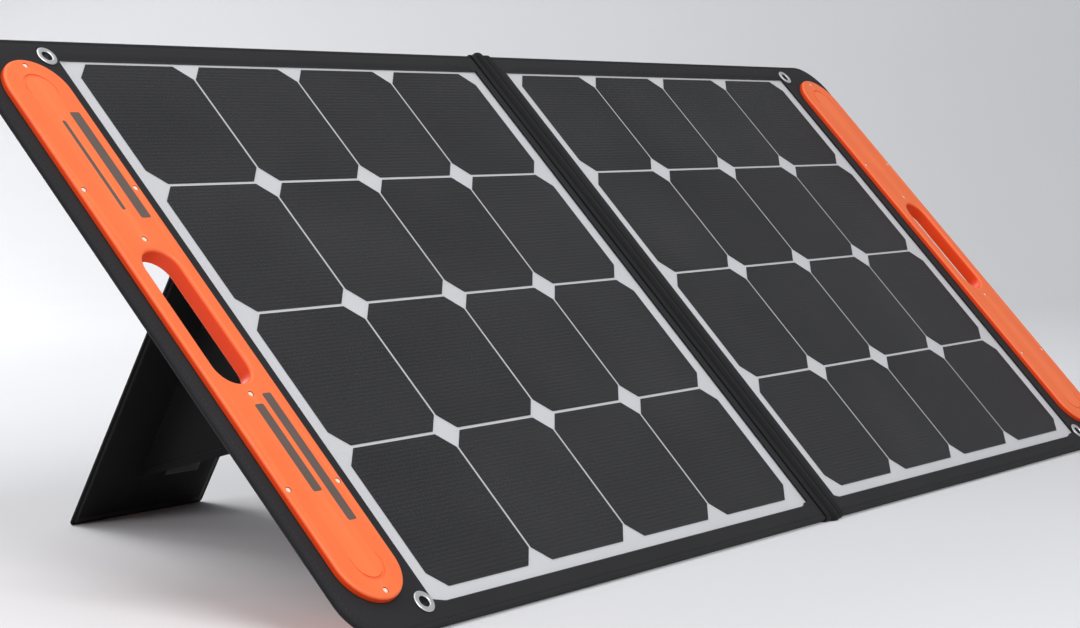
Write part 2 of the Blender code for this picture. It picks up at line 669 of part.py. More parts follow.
def make_socket(name, size, x, wall_y, shelf, base, parent):
    """A metal shell, open at its mouth in the box's upper wall."""
    wide, deep, tall = size
    z = shelf - tall / 2
    round_end = tall * 0.45 if tall < 4 * MM else 0.8 * MM

    def ring(inset, y):
        outline = rectangle(x, z, wide - 2 * inset, tall - 2 * inset, round_end - inset)
        return [(u, y, v) for u, v in outline]

    mouth = wall_y - GAP
    rings = [
        ring(USB_SHELL, mouth - deep + USB_SHELL), ring(USB_SHELL, mouth),
        ring(0, mouth), ring(0, mouth - deep),
    ]
    loft(name, rings, "plated", parent, closed=False)
    hole = rectangle(x, z, wide + 2 * GAP, tall + 2 * GAP, round_end + GAP)
    low, high = wall_y - BOX_WALL - 2 * MM, wall_y + 2 * MM
    cutter = prism(f"{name}_hole", hole, low, high, "box", parent, along="y")
    combine(base, cutter, "DIFFERENCE")


def make_gland(base, wall_y, z, parent):
    """The rubber grommet that the output lead comes out of."""
    x = BOX_X + BOX_WIDTH * 0.3
    neck = GLAND_RADIUS - GLAND_COLLAR
    inside = wall_y + BOX_WALL + GAP
    outside = wall_y - GAP
    profile = (
        (GLAND_BORE, inside + GLAND_COLLAR), (GLAND_RADIUS, inside + GLAND_COLLAR),
        (GLAND_RADIUS, inside), (neck, inside), (neck, outside), (GLAND_RADIUS, outside),
        (neck + 0.3 * MM, outside - GLAND_LENGTH), (GLAND_BORE, outside - GLAND_LENGTH),
    )
    rings = [[(u, y, v) for u, v in circle(x, z, r, 12)] for r, y in profile]
    loft("cable_gland", rings, "lead", parent)
    hole = circle(x, z, neck + GAP, 12)
    low, high = wall_y - 2 * MM, wall_y + BOX_WALL + 2 * MM
    cutter = prism("gland_hole", hole, low, high, "box", parent, along="y")
    combine(base, cutter, "DIFFERENCE")


# ---- the whole panel ----
def stand_on_ground(panel):
    """Move the panel so that its origin is the middle of its footprint, on the ground."""
    bpy.context.view_layer.update()
    points = []
    for piece in bpy.data.objects:
        if piece.type == "MESH" and not piece.hide_render:
            points += [piece.matrix_world @ v.co for v in piece.data.vertices]
    low = [min(p[k] for p in points) for k in range(3)]
    high = [max(p[k] for p in points) for k in range(3)]
    panel.location -= Vector(((low[0] + high[0]) / 2, (low[1] + high[1]) / 2, low[2]))


def main():
    for old in list(bpy.data.objects):
        bpy.data.objects.remove(old, do_unlink=True)
    panel = empty("panel", None, (0, 0, 0), LEAN)
    halves = {
        "left": empty("left_half", panel, (0, 0, 0)),
        "right": empty("right_half", panel, (0, 0, 0)),
    }
    for label, side in SIDES.items():
        half = halves[label]
        make_laminate(label, side, half)
        make_covers(label, side, half)
        make_handle(label, side, half)
        make_grommets(label, side, half)
        hinge = empty(f"{label}_hinge", half, (0, LEG_HINGE_Y, LEG_HINGE_Z), OPEN)
        make_leg(label, side, half, hinge)
    make_fold(halves["left"])
    right = halves["right"]
    make_pouch(right)
    face = BACK - GAP - POUCH_DEPTH
    parked = POUCH_X - ZIP_LENGTH / 2 + SLIDER_LENGTH / 2 + 1 * MM
    slider_frame = empty("slider_frame", right, (parked, zip_line(), face))
    pull_frame = empty("pull_frame", slider_frame, (0, 0, pull_height()))
    make_zip(right, slider_frame, pull_frame)
    make_output_box(right)
    stand_on_ground(panel)


main()
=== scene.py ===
# %% [markdown]
# # A folding solar panel, open on its legs
#
# Two stiff fabric halves are joined by a soft fold. Each carries sixteen dark cells on a
# white sheet, an orange carrying handle and a folding leg. The working model, with its
# real sizes and joints, is loaded first and never moved. The cells below give it its looks.

# %% Load the working model
import json
import math

import bmesh
import bpy
from mathutils import Matrix, Vector, noise


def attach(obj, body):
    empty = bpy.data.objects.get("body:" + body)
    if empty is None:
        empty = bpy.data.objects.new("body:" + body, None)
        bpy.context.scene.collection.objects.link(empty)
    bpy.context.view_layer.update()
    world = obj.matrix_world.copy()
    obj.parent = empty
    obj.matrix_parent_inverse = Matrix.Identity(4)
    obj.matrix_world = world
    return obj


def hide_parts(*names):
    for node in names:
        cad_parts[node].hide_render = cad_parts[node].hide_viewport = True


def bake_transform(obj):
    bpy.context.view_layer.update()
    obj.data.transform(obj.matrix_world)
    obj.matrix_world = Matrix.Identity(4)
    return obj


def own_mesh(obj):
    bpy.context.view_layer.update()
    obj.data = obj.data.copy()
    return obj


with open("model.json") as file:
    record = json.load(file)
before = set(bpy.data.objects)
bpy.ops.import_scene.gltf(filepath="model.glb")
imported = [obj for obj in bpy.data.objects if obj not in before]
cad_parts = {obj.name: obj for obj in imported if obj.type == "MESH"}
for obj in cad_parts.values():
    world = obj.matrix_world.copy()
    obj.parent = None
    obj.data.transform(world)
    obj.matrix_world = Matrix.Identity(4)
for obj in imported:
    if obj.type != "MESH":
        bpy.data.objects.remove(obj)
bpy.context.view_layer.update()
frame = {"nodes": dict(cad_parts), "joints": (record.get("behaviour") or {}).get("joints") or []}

MM = 0.001

# %% [markdown]
# ## Measuring from the model
#
# The panel leans back, so places on it are easier to think of flat: x from the fold, y up
# the slope, z out of the lit face. One matrix takes flat places to the world. Its slope
# comes from the fold's joint, which runs along it. Reading sizes from the model, and not
# typing them again, keeps the looks on the parts when the design changes.

# %% The panel's own frame
joints = {j["name"]: j for j in frame["joints"]}
SLOPE = Vector(joints["fold"]["axis"]).normalized()
ACROSS = Vector((1, 0, 0))
OUTWARD = ACROSS.cross(SLOPE)
LEAN = math.atan2(SLOPE.z, SLOPE.y)


def points_of(node):
    """A part's corner points, in the world."""
    return [v.co.copy() for v in frame["nodes"][node].data.vertices]


def span(node, direction):
    """Lowest and highest reach of a part along a direction."""
    reach = [p.dot(direction) for p in points_of(node)]
    return min(reach), max(reach)


low_edge = span("left_cover_front", SLOPE)[0]
lit_face = span("left_cover_front", OUTWARD)[1]
ORIGIN = SLOPE * low_edge + OUTWARD * lit_face
PANEL = Matrix.Translation(ORIGIN) @ Matrix((
    (ACROSS.x, SLOPE.x, OUTWARD.x, 0),
    (ACROSS.y, SLOPE.y, OUTWARD.y, 0),
    (ACROSS.z, SLOPE.z, OUTWARD.z, 0),
    (0, 0, 0, 1),
))


def flat_box(node, frame_matrix=None):
    """Limits of a part in a flat frame: ((x0, x1), (y0, y1), (z0, z1))."""
    back = (frame_matrix or PANEL).inverted()
    local = [back @ p for p in points_of(node)]
    return tuple((min(p[k] for p in local), max(p[k] for p in local)) for k in range(3))


HEIGHT = flat_box("left_cover_front")[1][1]
EDGE = flat_box("right_cover_front")[0][1]
BACK = flat_box("left_cover_back")[2][0]
FOLD_Z = (PANEL.inverted() @ Vector(joints["fold"]["pos_m"])).z
print("panel", round(2 * EDGE, 4), "by", round(HEIGHT, 4), "m")
print("leaning", round(math.degrees(LEAN), 1), "degrees")

# %% [markdown]
# ## Writing materials as sums
#
# A procedural finish is arithmetic on positions: sine waves make threads, noise makes
# grain. Wiring that arithmetic by hand in the node editor is slow to read. Here a small
# class wraps a node's socket, so that Python's own signs add the Math nodes. Colours and
# directions go through Mix and Vector Math instead, because a Math node turns them grey.


# %% A socket that can be used in sums
class Signal:
    """A node's socket, which Python's own signs can work on."""

    def __init__(self, swatch, socket):
        self.swatch = swatch
        self.socket = socket

    def _maths(self, operation, *values):
        return self.swatch.node("Math", {"operation": operation}, dict(enumerate(values)))

    def __add__(self, other):
        return self._maths("ADD", self, other)

    def __sub__(self, other):
        return self._maths("SUBTRACT", self, other)

    def __rsub__(self, other):
        return self._maths("SUBTRACT", other, self)

    def __mul__(self, other):
        return self._maths("MULTIPLY", self, other)

    def __truediv__(self, other):
        return self._maths("DIVIDE", self, other)

    def __rtruediv__(self, other):
        return self._maths("DIVIDE", other, self)

    def __gt__(self, other):
        return self._maths("GREATER_THAN", self, other)

    def __lt__(self, other):
        return self._maths("LESS_THAN", self, other)

    def __abs__(self):
        return self._maths("ABSOLUTE", self, 0.0)

    __radd__ = __add__
    __rmul__ = __mul__

    def sine(self):
        return self._maths("SINE", self, 0.0)

    def floor(self):
        return self._maths("FLOOR", self, 0.0)

    def clamped(self, low=0.0, high=1.0):
        held = self._maths("MAXIMUM", self, low)
        return held._maths("MINIMUM", held, high)


# %% A swatch: one material being made
class Swatch:
    """A material, with one method that adds any node."""

    def __init__(self, name, roughness=0.5, metallic=0.0, specular=0.5, **constants):
        self.material = bpy.data.materials.new(name)
        self.material.use_nodes = True
        self.tree = self.material.node_tree
        self.shader = self.tree.nodes["Principled BSDF"]
        self.shader.inputs["Roughness"].default_value = roughness
        self.shader.inputs["Metallic"].default_value = metallic
        self.shader.inputs["Specular IOR Level"].default_value = specular
        for socket, value in constants.items():
            self.shader.inputs[socket.replace("_", " ")].default_value = value

    def node(self, kind, settings=None, inputs=None, output=0):
        """Add a node: its type, its settings, then its sockets' values or links."""
        added = self.tree.nodes.new("ShaderNode" + kind)
        for key, value in (settings or {}).items():
            setattr(added, key, value)
        for key, value in (inputs or {}).items():
            self._feed(added.inputs[key], value)
        return Signal(self, added.outputs[output])

    def _feed(self, socket, value):
        if isinstance(value, Signal):
            self.tree.links.new(value.socket, socket)
        elif isinstance(value, tuple) and len(value) == 3 and socket.type == "RGBA":
            socket.default_value = (*value, 1.0)
        else:
            socket.default_value = value

    def place(self, turn=(0.0, 0.0, 0.0), shift=(0.0, 0.0, 0.0)):
        """Where a point of the piece is, in metres, turned so that a face lies flat."""
        spot = self.node("TexCoord", output=3)
        return self.node("Mapping", {}, {"Vector": spot, "Location": shift, "Rotation": turn})

    def split(self, vector):
        first = self.node("SeparateXYZ", {}, {0: vector})
        outputs = first.socket.node.outputs
        return first, Signal(self, outputs[1]), Signal(self, outputs[2])

    def grain(self, vector, size, detail=2.0, roughness=0.5):
        """Soft noise from 0 to 1 whose blotches are about size metres."""
        inputs = {"Vector": vector, "Scale": 1 / size, "Detail": detail, "Roughness": roughness}
        return self.node("TexNoise", {}, inputs)

    def mix(self, share, first, second):
        """A colour between two colours."""
        settings = {"data_type": "RGBA"}
        return self.node("Mix", settings, {0: share, 6: first, 7: second}, output=2)

    def relief(self, height, depth, strength=1.0, under=None):
        """A bump of the given depth in metres, over another bump if one is given."""
        inputs = {"Height": height, "Distance": depth, "Strength": strength}
        if under is not None:
            inputs["Normal"] = under
        return self.node("Bump", {}, inputs)

    def facing(self):
        """How squarely the surface faces out of the panel: 1 flat, 0 side on."""
        normal = self.node("NewGeometry", output=1)
        inputs = {0: normal, 1: tuple(OUTWARD)}
        return abs(self.node("VectorMath", {"operation": "DOT_PRODUCT"}, inputs, 1))

    def edge_highlight_and_rub(self, most):
        """Edges that stand out, found by pointiness: they get a painted highlight and are smoothed
        by rubbing.
        """
        return ((self.node("NewGeometry", output=7) - 0.5) * 6.0).clamped(0.0, most)

    def wear(self, **sockets):
        """Drive the shader's sockets, and give the finished material."""
        for name, value in sockets.items():
            self._feed(self.shader.inputs[name.replace("_", " ")], value)
        return self.material


print("swatches can be mixed")

# %% [markdown]
# ## Black woven cloth
#
# The covers, legs and pouch are coated polyester. Its threads cross every three quarters
# of a millimetre: where one runs over, the other runs under. A chequerboard of two sine
# waves gives that plain weave. A slow noise adds the uneven sheen that coated cloth has.
# The turn lays the pattern in the plane of each face, since the cloth lies at three slopes.

# %% Cloth
THREAD = 0.75 * MM
PANEL_TURN = (-LEAN, 0.0, 0.0)
SIDE_TURN = (0.0, math.pi / 2, 0.0)


def cloth(name, turn, tint=(0.012, 0.012, 0.013), lift=(0.026, 0.026, 0.028)):
    """Plain weave, darkest in the gaps between threads."""
    swatch = Swatch(name, roughness=0.8, specular=0.22, Sheen_Weight=0.04, Sheen_Roughness=0.45)
    spot = swatch.place(turn)
    u, v, _ = swatch.split(spot)
    warp = (u * (math.pi / THREAD)).sine()
    weft = (v * (math.pi / THREAD)).sine()
    over = warp * weft > 0.0
    threads = abs(warp) * over + abs(weft) * (1.0 - over)
    slub = swatch.grain(spot, 4 * MM, 3.0)
    cast = swatch.grain(spot, 90 * MM, 2.0)
    share = (threads * 0.35 + slub * 0.35 + cast * 0.5 - 0.25).clamped()
    wavy = swatch.relief(cast, 1.2 * MM, 0.5)
    woven = swatch.relief(threads + slub * 0.6, 0.12 * MM, 0.55, wavy)
    return swatch.wear(
        Base_Color=swatch.mix(share, tint, lift),
        Roughness=0.72 + slub * 0.2,
        Normal=woven,
    )


print("cloth threads every", THREAD * 1000, "mm")

# %% [markdown]
# ## Cells, sheet and film
#
# Each cell is a dark wafer without bright wires, because its contacts are all behind.
# What the eye sees is near-black silicon with faint streaks that wander across it. Every
# wafer is cut from a different block, so each gets a shade of its own: the position is
# rounded down to the cell's number, and a white noise turns that number into a shade.
# The clear film over them is nearly all transparent, with a haze and pressed dimples.

# %% Cells and sheets
cell_low = flat_box("right_cell_string_1")
pitch = flat_box("right_cell_string_2")[0][0] - cell_low[0][0]
STREAK = 3.4 * MM


def wafer(name, side):
    """Near-black silicon with faint streaks, each wafer in a shade of its own."""
    swatch = Swatch(name, roughness=0.4, specular=0.25)
    shift = (-side * cell_low[0][0], 0.0, 0.0)
    spot = swatch.place(PANEL_TURN, shift)
    u, v, _ = swatch.split(spot)
    column = (u / pitch).floor()
    first_row = SLOPE.dot(PANEL @ Vector((0, cell_low[1][0], 0)))
    row = ((v - first_row) / pitch).floor()
    number = swatch.node("CombineXYZ", {}, {0: column, 1: row, 2: 0.0})
    shade = swatch.node("TexWhiteNoise", {"noise_dimensions": "3D"}, {"Vector": number})
    cloud = swatch.grain(spot, 60 * MM, 3.0)
    wander = swatch.grain(spot, 9 * MM, 2.0)
    lines = (v * (2 * math.pi / STREAK) + wander * 3.0).sine()
    dimple = swatch.grain(spot, 0.9 * MM, 1.0)
    share = (shade * 0.3 + cloud * 0.4 + lines * 0.3 + 0.15).clamped()
    pressed = swatch.relief(lines * 0.8 + dimple, 0.14 * MM, 0.4)
    return swatch.wear(
        Base_Color=swatch.mix(share, (0.004, 0.0042, 0.0046), (0.017, 0.0172, 0.018)),
        Roughness=0.36 + dimple * 0.14 + cloud * 0.08,
        Normal=pressed,
    )


def white_sheet():
    """Pale sheet with a fine mottle."""
    swatch = Swatch("white sheet", roughness=0.5, specular=0.35)
    spot = swatch.place(PANEL_TURN)
    mottle = swatch.grain(spot, 2.2 * MM, 3.0, 0.7)
    cloud = swatch.grain(spot, 40 * MM)
    share = (mottle * 0.7 + cloud * 0.3).clamped()
    return swatch.wear(
        Base_Color=swatch.mix(share, (0.56, 0.56, 0.578), (0.69, 0.69, 0.705)),
        Roughness=0.42 + mottle * 0.2,
        Normal=swatch.relief(mottle, 0.08 * MM, 0.5),
    )


def clear_film():
    """Almost all transparent, so that what is below shows."""
    swatch = Swatch("clear film", roughness=0.3, specular=0.14)
    spot = swatch.place(PANEL_TURN)
    dimple = swatch.grain(spot, 1.1 * MM, 1.0)
    haze = swatch.grain(spot, 120 * MM, 2.0)
    return swatch.wear(
        Base_Color=swatch.mix(haze, (0.20, 0.20, 0.21), (0.32, 0.32, 0.33)),
        Alpha=0.02 + haze * 0.03,
        Roughness=0.28 + dimple * 0.15,
        Normal=swatch.relief(dimple, 0.06 * MM, 0.4),
    )


def stiff_board():
    swatch = Swatch("stiff board", roughness=0.6, specular=0.3)
    spot = swatch.place(PANEL_TURN)
    fibre = swatch.grain(spot, 1.5 * MM, 4.0, 0.7)
    u, v, _ = swatch.split(spot)
    flute = abs((u * (math.pi / (4 * MM))).sine())
    return swatch.wear(
        Base_Color=swatch.mix(fibre, (0.035, 0.034, 0.033), (0.075, 0.073, 0.070)),
        Roughness=0.5 + fibre * 0.25,
        Normal=swatch.relief(flute * 0.6 + fibre, 0.15 * MM, 0.5),
    )


print("cells every", round(pitch * 1000, 1), "mm")

# %% [markdown]
# ## Moulded pieces and metal
#
# The handles are a soft orange moulding with a fine spark-eroded grain, a little paler and
# smoother at the raised edges: the paler colour is a painted highlight, the smoothness is
# rubbing by hands. The geometry's pointiness marks those edges.
# The moulding's sides are a deeper red, a painted shade told from the way each face points.
# Small metal parts are bright, with scratches that are noise stretched along one way, and a
# painted shade makes them dark in a bore.

# %% Mouldings
SPARK = 0.35 * MM


def moulding(name, dark, light, highlight_and_rub=0.5):
    """A spark-eroded grain with a slow flow of colour; edges get a painted highlight and are
    smoother from rubbing.
    """
    swatch = Swatch(name, roughness=0.42, specular=0.4)
    spot = swatch.place(PANEL_TURN)
    fine = swatch.grain(spot, SPARK, 2.0, 0.6)
    flow = swatch.grain(spot, 35 * MM, 3.0)
    # painted highlight: raised edges are paler, and also a little smoother from rubbing
    edge = swatch.edge_highlight_and_rub(highlight_and_rub)
    share = (fine * 0.25 + flow * 0.45 + edge).clamped()
    return swatch.wear(
        Base_Color=swatch.mix(share, dark, light),
        Roughness=0.42 + fine * 0.16 - edge * 0.12,
        Normal=swatch.relief(fine, 0.05 * MM, 0.5),
    )


def orange_moulding():
    """Bright on the flat, with a painted shade that makes the sides a deeper red."""
    swatch = Swatch("orange moulding", roughness=0.42, specular=0.35)
    spot = swatch.place(PANEL_TURN)
    fine = swatch.grain(spot, SPARK, 2.0, 0.6)
    flow = swatch.grain(spot, 35 * MM, 3.0)
    # painted shade: faces that turn side-on to the panel's face get a deeper red
    flat = ((swatch.facing() - 0.15) * 1.5).clamped()
    # painted highlight: raised edges are paler, and also a little smoother from rubbing
    edge = swatch.edge_highlight_and_rub(0.4)
    share = (fine * 0.2 + flow * 0.4 + edge).clamped()
    top = swatch.mix(share, (0.84, 0.142, 0.038), (1.0, 0.225, 0.07))
    return swatch.wear(
        Base_Color=swatch.mix(flat, (0.82, 0.056, 0.004), top),
        Roughness=0.40 + fine * 0.16 - edge * 0.1,
        Normal=swatch.relief(fine, 0.05 * MM, 0.5),
    )


def bright_metal(name, dark=(0.62, 0.62, 0.63), light=(0.92, 0.92, 0.93), roughness=0.28):
    swatch = Swatch(name, roughness=roughness, metallic=0.8)
    spot = swatch.place(PANEL_TURN)
    u, v, w = swatch.split(spot)
    drawn = swatch.node("CombineXYZ", {}, {0: u * 0.12, 1: v, 2: w})
    scratch = swatch.grain(drawn, 0.25 * MM, 3.0, 0.7)
    stain = swatch.grain(spot, 5 * MM, 3.0)
    share = (scratch * 0.5 + stain * 0.5).clamped()
    # painted shade: faces turned side-on, as in a bore, get a colour far darker than the metal
    free_of_painted_shade = ((swatch.facing() - 0.12) * 2.5).clamped()
    shade = tuple(0.12 * value for value in dark)
    return swatch.wear(
        Base_Color=swatch.mix(free_of_painted_shade, shade, swatch.mix(share, dark, light)),
        Roughness=roughness + scratch * 0.18,
        Normal=swatch.relief(scratch, 0.02 * MM, 0.4),
    )


def pile(name, size, tint, lift):
    """Hook or loop tape: a mat of tiny stiff threads."""
    swatch = Swatch(name, roughness=0.9, specular=0.2, Sheen_Weight=0.4)
    spot = swatch.place(PANEL_TURN)
    mat = swatch.node("TexVoronoi", {}, {"Vector": spot, "Scale": 1 / size})
    fuzz = swatch.grain(spot, size * 0.5, 3.0)
    share = (mat * 0.8 + fuzz * 0.4).clamped()
    return swatch.wear(
        Base_Color=swatch.mix(share, tint, lift),
        Roughness=0.8 + fuzz * 0.15,
        Normal=swatch.relief(mat + fuzz, 0.5 * MM, 0.9),
    )


def green_circuit():
    swatch = Swatch("green circuit", roughness=0.35, specular=0.5)
    spot = swatch.place(PANEL_TURN)
    settings = {"offset": 0.3, "squash": 1.0}
    inputs = {"Vector": spot, "Scale": 120.0, "Mortar Size": 0.03}
    traces = swatch.node("TexBrick", settings, inputs, output=1)
    fine = swatch.grain(spot, 1 * MM)
    share = (traces * 0.7 + fine * 0.3).clamped()
    return swatch.wear(
        Base_Color=swatch.mix(share, (0.015, 0.14, 0.07), (0.05, 0.30, 0.15)),
        Roughness=0.3 + fine * 0.2,
        Normal=swatch.relief(traces, 0.05 * MM, 0.6),
    )


leg_joint = joints["right_stand_hinge"]
OPEN = math.radians(-leg_joint["range_deg"][0])
HINGE = Vector((0, *leg_joint["pos_m"][1:]))
LEG = Matrix.Translation(HINGE) @ Matrix.Rotation(LEAN + OPEN, 4, "X")
LEG_TURN = (-LEAN - OPEN, 0.0, 0.0)

FINISH = {
    "cloth": cloth("black cloth", PANEL_TURN),
    # The legs' cloth is tinted darker: partly a darker coated cloth, partly painted shade for legs
    # standing in shadow.
    "cloth leg": cloth("black leg cloth", LEG_TURN, (0.008, 0.008, 0.008), (0.018, 0.018, 0.018)),
    "cloth web": cloth("black web cloth", SIDE_TURN, (0.010, 0.010, 0.010), (0.020, 0.020, 0.021)),
    # The fold's cloth is tinted darker still: a painted shade that keeps its lit ridges dark.
    "cloth fold painted shade": cloth(
        "black fold cloth with painted shade", PANEL_TURN, (0.004, 0.004, 0.0045), (0.012, 0.012, 0.013)),
    "wafer left": wafer("left cell", -1),
    "wafer right": wafer("right cell", 1),
    "sheet": white_sheet(),
    "film": clear_film(),
    "board": stiff_board(),
    "orange": orange_moulding(),
    "nylon": moulding("natural nylon", (0.72, 0.62, 0.48), (0.90, 0.82, 0.70)),
    "ink": moulding("dark print", (0.085, 0.060, 0.050), (0.15, 0.11, 0.09), highlight_and_rub=0.2),
    "box": moulding("black housing", (0.022, 0.022, 0.024), (0.05, 0.05, 0.052)),
    "rubber": moulding("black rubber", (0.018, 0.018, 0.018), (0.045, 0.045, 0.045)),
    "thread": moulding("black thread", (0.010, 0.010, 0.011), (0.034, 0.034, 0.036)),
    "coil": moulding("zip coil", (0.020, 0.020, 0.022), (0.07, 0.07, 0.075)),
    "eyelet": bright_metal("bright eyelet"),
    "plated": bright_metal("plated metal", (0.35, 0.35, 0.36), (0.6, 0.6, 0.61)),
    "magnet": bright_metal("magnet plating", (0.4, 0.4, 0.41), (0.65, 0.65, 0.66), 0.15),
    "hooks": pile("hook tape", 1.0 * MM, (0.012, 0.012, 0.012), (0.05, 0.05, 0.05)),
    "loops": pile("loop tape", 1.6 * MM, (0.015, 0.015, 0.015), (0.06, 0.06, 0.06)),
    "circuit": green_circuit(),
}
print(len(FINISH), "finishes")

# %% [markdown]
# ## Parts that keep their modelled shape
#
# The sheets, boards, magnets, zip slider and box of electronics are flat or machined, so
# the working model already has their shape. They only need their finish, which replaces
# whatever stands in the object's material slots.

# %% Dress the parts that stay
KEPT = {
    "front_film": "film", "backsheet": "sheet", "stiffener_board": "board",
    "magnet_upper": "magnet", "magnet_lower": "magnet", "handle_core": "nylon",
    "stand_board": "board",
}
SHARED = {
    "output_box_base": "box", "output_box_lid": "box", "output_board": "circuit",
    "usb_a_socket": "plated", "usb_c_socket": "plated", "cable_gland": "rubber",
    "zip_slider": "plated", "zip_pull": "plated",
}


def dress(node, finish):
    """Give a kept part one finish in place of its own."""
    slots = frame["nodes"][node].data.materials
    slots.clear()
    slots.append(FINISH[finish])


for side in ("left", "right"):
    for part, finish in KEPT.items():
        dress(f"{side}_{part}", finish)
for part, finish in SHARED.items():
    dress(part, finish)
print("dressed", 2 * len(KEPT) + len(SHARED), "parts")

# %% [markdown]
# ## Drawing shapes
#
# Cloth is a skin on a grid, given its thickness afterwards with a rounded cut edge.
# Mouldings and metal rings are one section carried round an outline. Every outline keeps
# the same number of points when it grows or shrinks, so its rings always match. Pieces
# are drawn for the right half and mirrored for the left. This keeps each shape in one
# place, in millimetres that can be checked against the working model.


# %% Lines, outlines and skins
def ruled(start, end, step, *extra):
    """Sorted grid lines no further apart than step, with extra lines where detail is."""
    count = math.ceil((end - start) / step)
    lines = [start + (end - start) * k / count for k in range(count + 1)]
    for value in extra:
        lines = [line for line in lines if abs(line - value) > step / 8] + [value]
    return sorted(lines)


def outline(cx, cy, wide, tall, radius, grow=0.0, arc=8, run=12):
    """A rectangle with round corners, grown outwards from its drawn size."""
    hx, hy, r = wide / 2 - radius, tall / 2 - radius, radius + grow
    signs = ((1, 1), (-1, 1), (-1, -1), (1, -1))
    points = []
    for k, (sx, sy) in enumerate(signs):
        for step in range(arc + 1):
            angle = (k + step / arc) * math.pi / 2
            points.append((cx + sx * hx + r * math.cos(angle), cy + sy * hy + r * math.sin(angle)))
        if (hy if k % 2 else hx) < 0.01 * MM:
            points.pop()
            continue
        tx, ty = signs[(k + 1) % 4]
        x, y = points[-1]
        dx, dy = (tx - sx) * hx, (ty - sy) * hy
        points += [(x + dx * s / run, y + dy * s / run) for s in range(1, run)]
    return points


def loft(rings, hoop=False, caps=False, mesh=None):
    """Skin equal rings; a hoop returns to its first ring, caps close its two ends."""
    mesh = mesh or bmesh.new()
    loops = [[mesh.verts.new(p) for p in ring] for ring in rings]
    pairs = list(zip(loops, loops[1:]))
    if hoop:
        pairs.append((loops[-1], loops[0]))
    for a, b in pairs:
        for k in range(len(a)):
            mesh.faces.new((a[k - 1], a[k], b[k], b[k - 1]))
    if caps:
        mesh.faces.new(loops[0])
        mesh.faces.new(loops[-1])
    return mesh


def levels(path, section):
    """Rings of a path that can grow, one for each (growth, height) of a section."""
    return [[(x, y, z) for x, y in path(grow)] for grow, z in section]


def carried(path, section, hoop=True, caps=False, mesh=None):
    """Carry a section of (growth, height) round a path that can grow."""
    return loft(levels(path, section), hoop, caps, mesh)


def round_corner(dx, dy, radius):
    """Bend a square corner's (dx, dy), measured from its round's centre, into the round."""
    turn = math.pi / 4 * min(dx, dy) / max(dx, dy)
    turn = turn if dx >= dy else math.pi / 2 - turn
    reach = min(max(dx, dy), radius)
    return reach * math.cos(turn), reach * math.sin(turn)


def quarter(radius, steps=6):
    """(out, up) steps of a quarter round, from (0, 0) to (radius, radius)."""
    angles = [math.pi / 2 * k / steps for k in range(steps + 1)]
    return [(radius * math.sin(a), radius * (1 - math.cos(a))) for a in angles]


def skin(us, vs, place, keep=None, tube=False):
    """Cloth on a grid of u and v lines; a tube joins its last u line to its first."""
    mesh = bmesh.new()
    spots = {}

    def spot(i, j):
        if (i, j) not in spots:
            spots[i, j] = mesh.verts.new(place(us[i], vs[j]))
        return spots[i, j]

    for i in range(len(us) if tube else len(us) - 1):
        n = (i + 1) % len(us)
        for j in range(len(vs) - 1):
            if keep is None or keep((us[i] + us[n]) / 2, (vs[j] + vs[j + 1]) / 2):
                mesh.faces.new((spot(i, j), spot(n, j), spot(n, j + 1), spot(i, j + 1)))
    return mesh


def thicken(mesh, thick, bulge=0.35):
    """Turn an open skin into cloth with a rounded cut edge; minus grows it outwards."""
    mesh.normal_update()
    faces, border = list(mesh.faces), [e for e in mesh.edges if e.is_boundary]
    under = {v: mesh.verts.new(v.co - v.normal * thick) for v in list(mesh.verts)}
    middle = {}
    for v in {v for e in border for v in e.verts}:
        centre = sum((f.calc_center_median() for f in v.link_faces), Vector()) / len(v.link_faces)
        out = v.co - centre
        out = (out - out.project(v.normal)).normalized() * abs(thick) * bulge
        middle[v] = mesh.verts.new((v.co + under[v].co) / 2 + out)
    for a, b in (e.verts for e in border):
        mesh.faces.new((b, a, middle[a], middle[b]))
        mesh.faces.new((middle[b], middle[a], under[a], under[b]))
    for face in faces:
        mesh.faces.new([under[v] for v in reversed(face.verts)])
    return mesh


print("outlines, lofts and skins ready")

# %% [markdown]
# ## Finishing a piece
#
# Every piece ends the same way: normals outward, moved from its flat frame to the world,
# smooth except at true edges, given its finish, and set to ride with a body of the
# working model. Holes are cut with Boolean modifiers, applied at once, because a slot
# through three layers is easier to cut than to draw into each grid.

# %% Cut, place and ride
HALF = {"left": PANEL @ Matrix.Diagonal((-1, 1, 1, 1)), "right": PANEL}
LEG_OF = {"left": LEG @ Matrix.Diagonal((-1, 1, 1, 1)), "right": LEG}


def in_scene(name, mesh):
    """Put a drawn mesh in the scene as an object, with its normals outward."""
    bmesh.ops.recalc_face_normals(mesh, faces=mesh.faces)
    data = bpy.data.meshes.new(name)
    mesh.to_mesh(data)
    mesh.free()
    thing = bpy.data.objects.new(name, data)
    bpy.context.scene.collection.objects.link(thing)
    return thing


def carve(mesh, tool):
    """Cut a tool's closed shapes out of a mesh."""
    body, cutter = in_scene("body", mesh), in_scene("cutter", tool)
    change = body.modifiers.new("cut", "BOOLEAN")
    change.object, change.solver = cutter, "EXACT"
    result = bmesh.new()
    result.from_mesh(body.evaluated_get(bpy.context.evaluated_depsgraph_get()).to_mesh())
    for thing in (body, cutter):
        data = thing.data
        bpy.data.objects.remove(thing)
        bpy.data.meshes.remove(data)
    return result


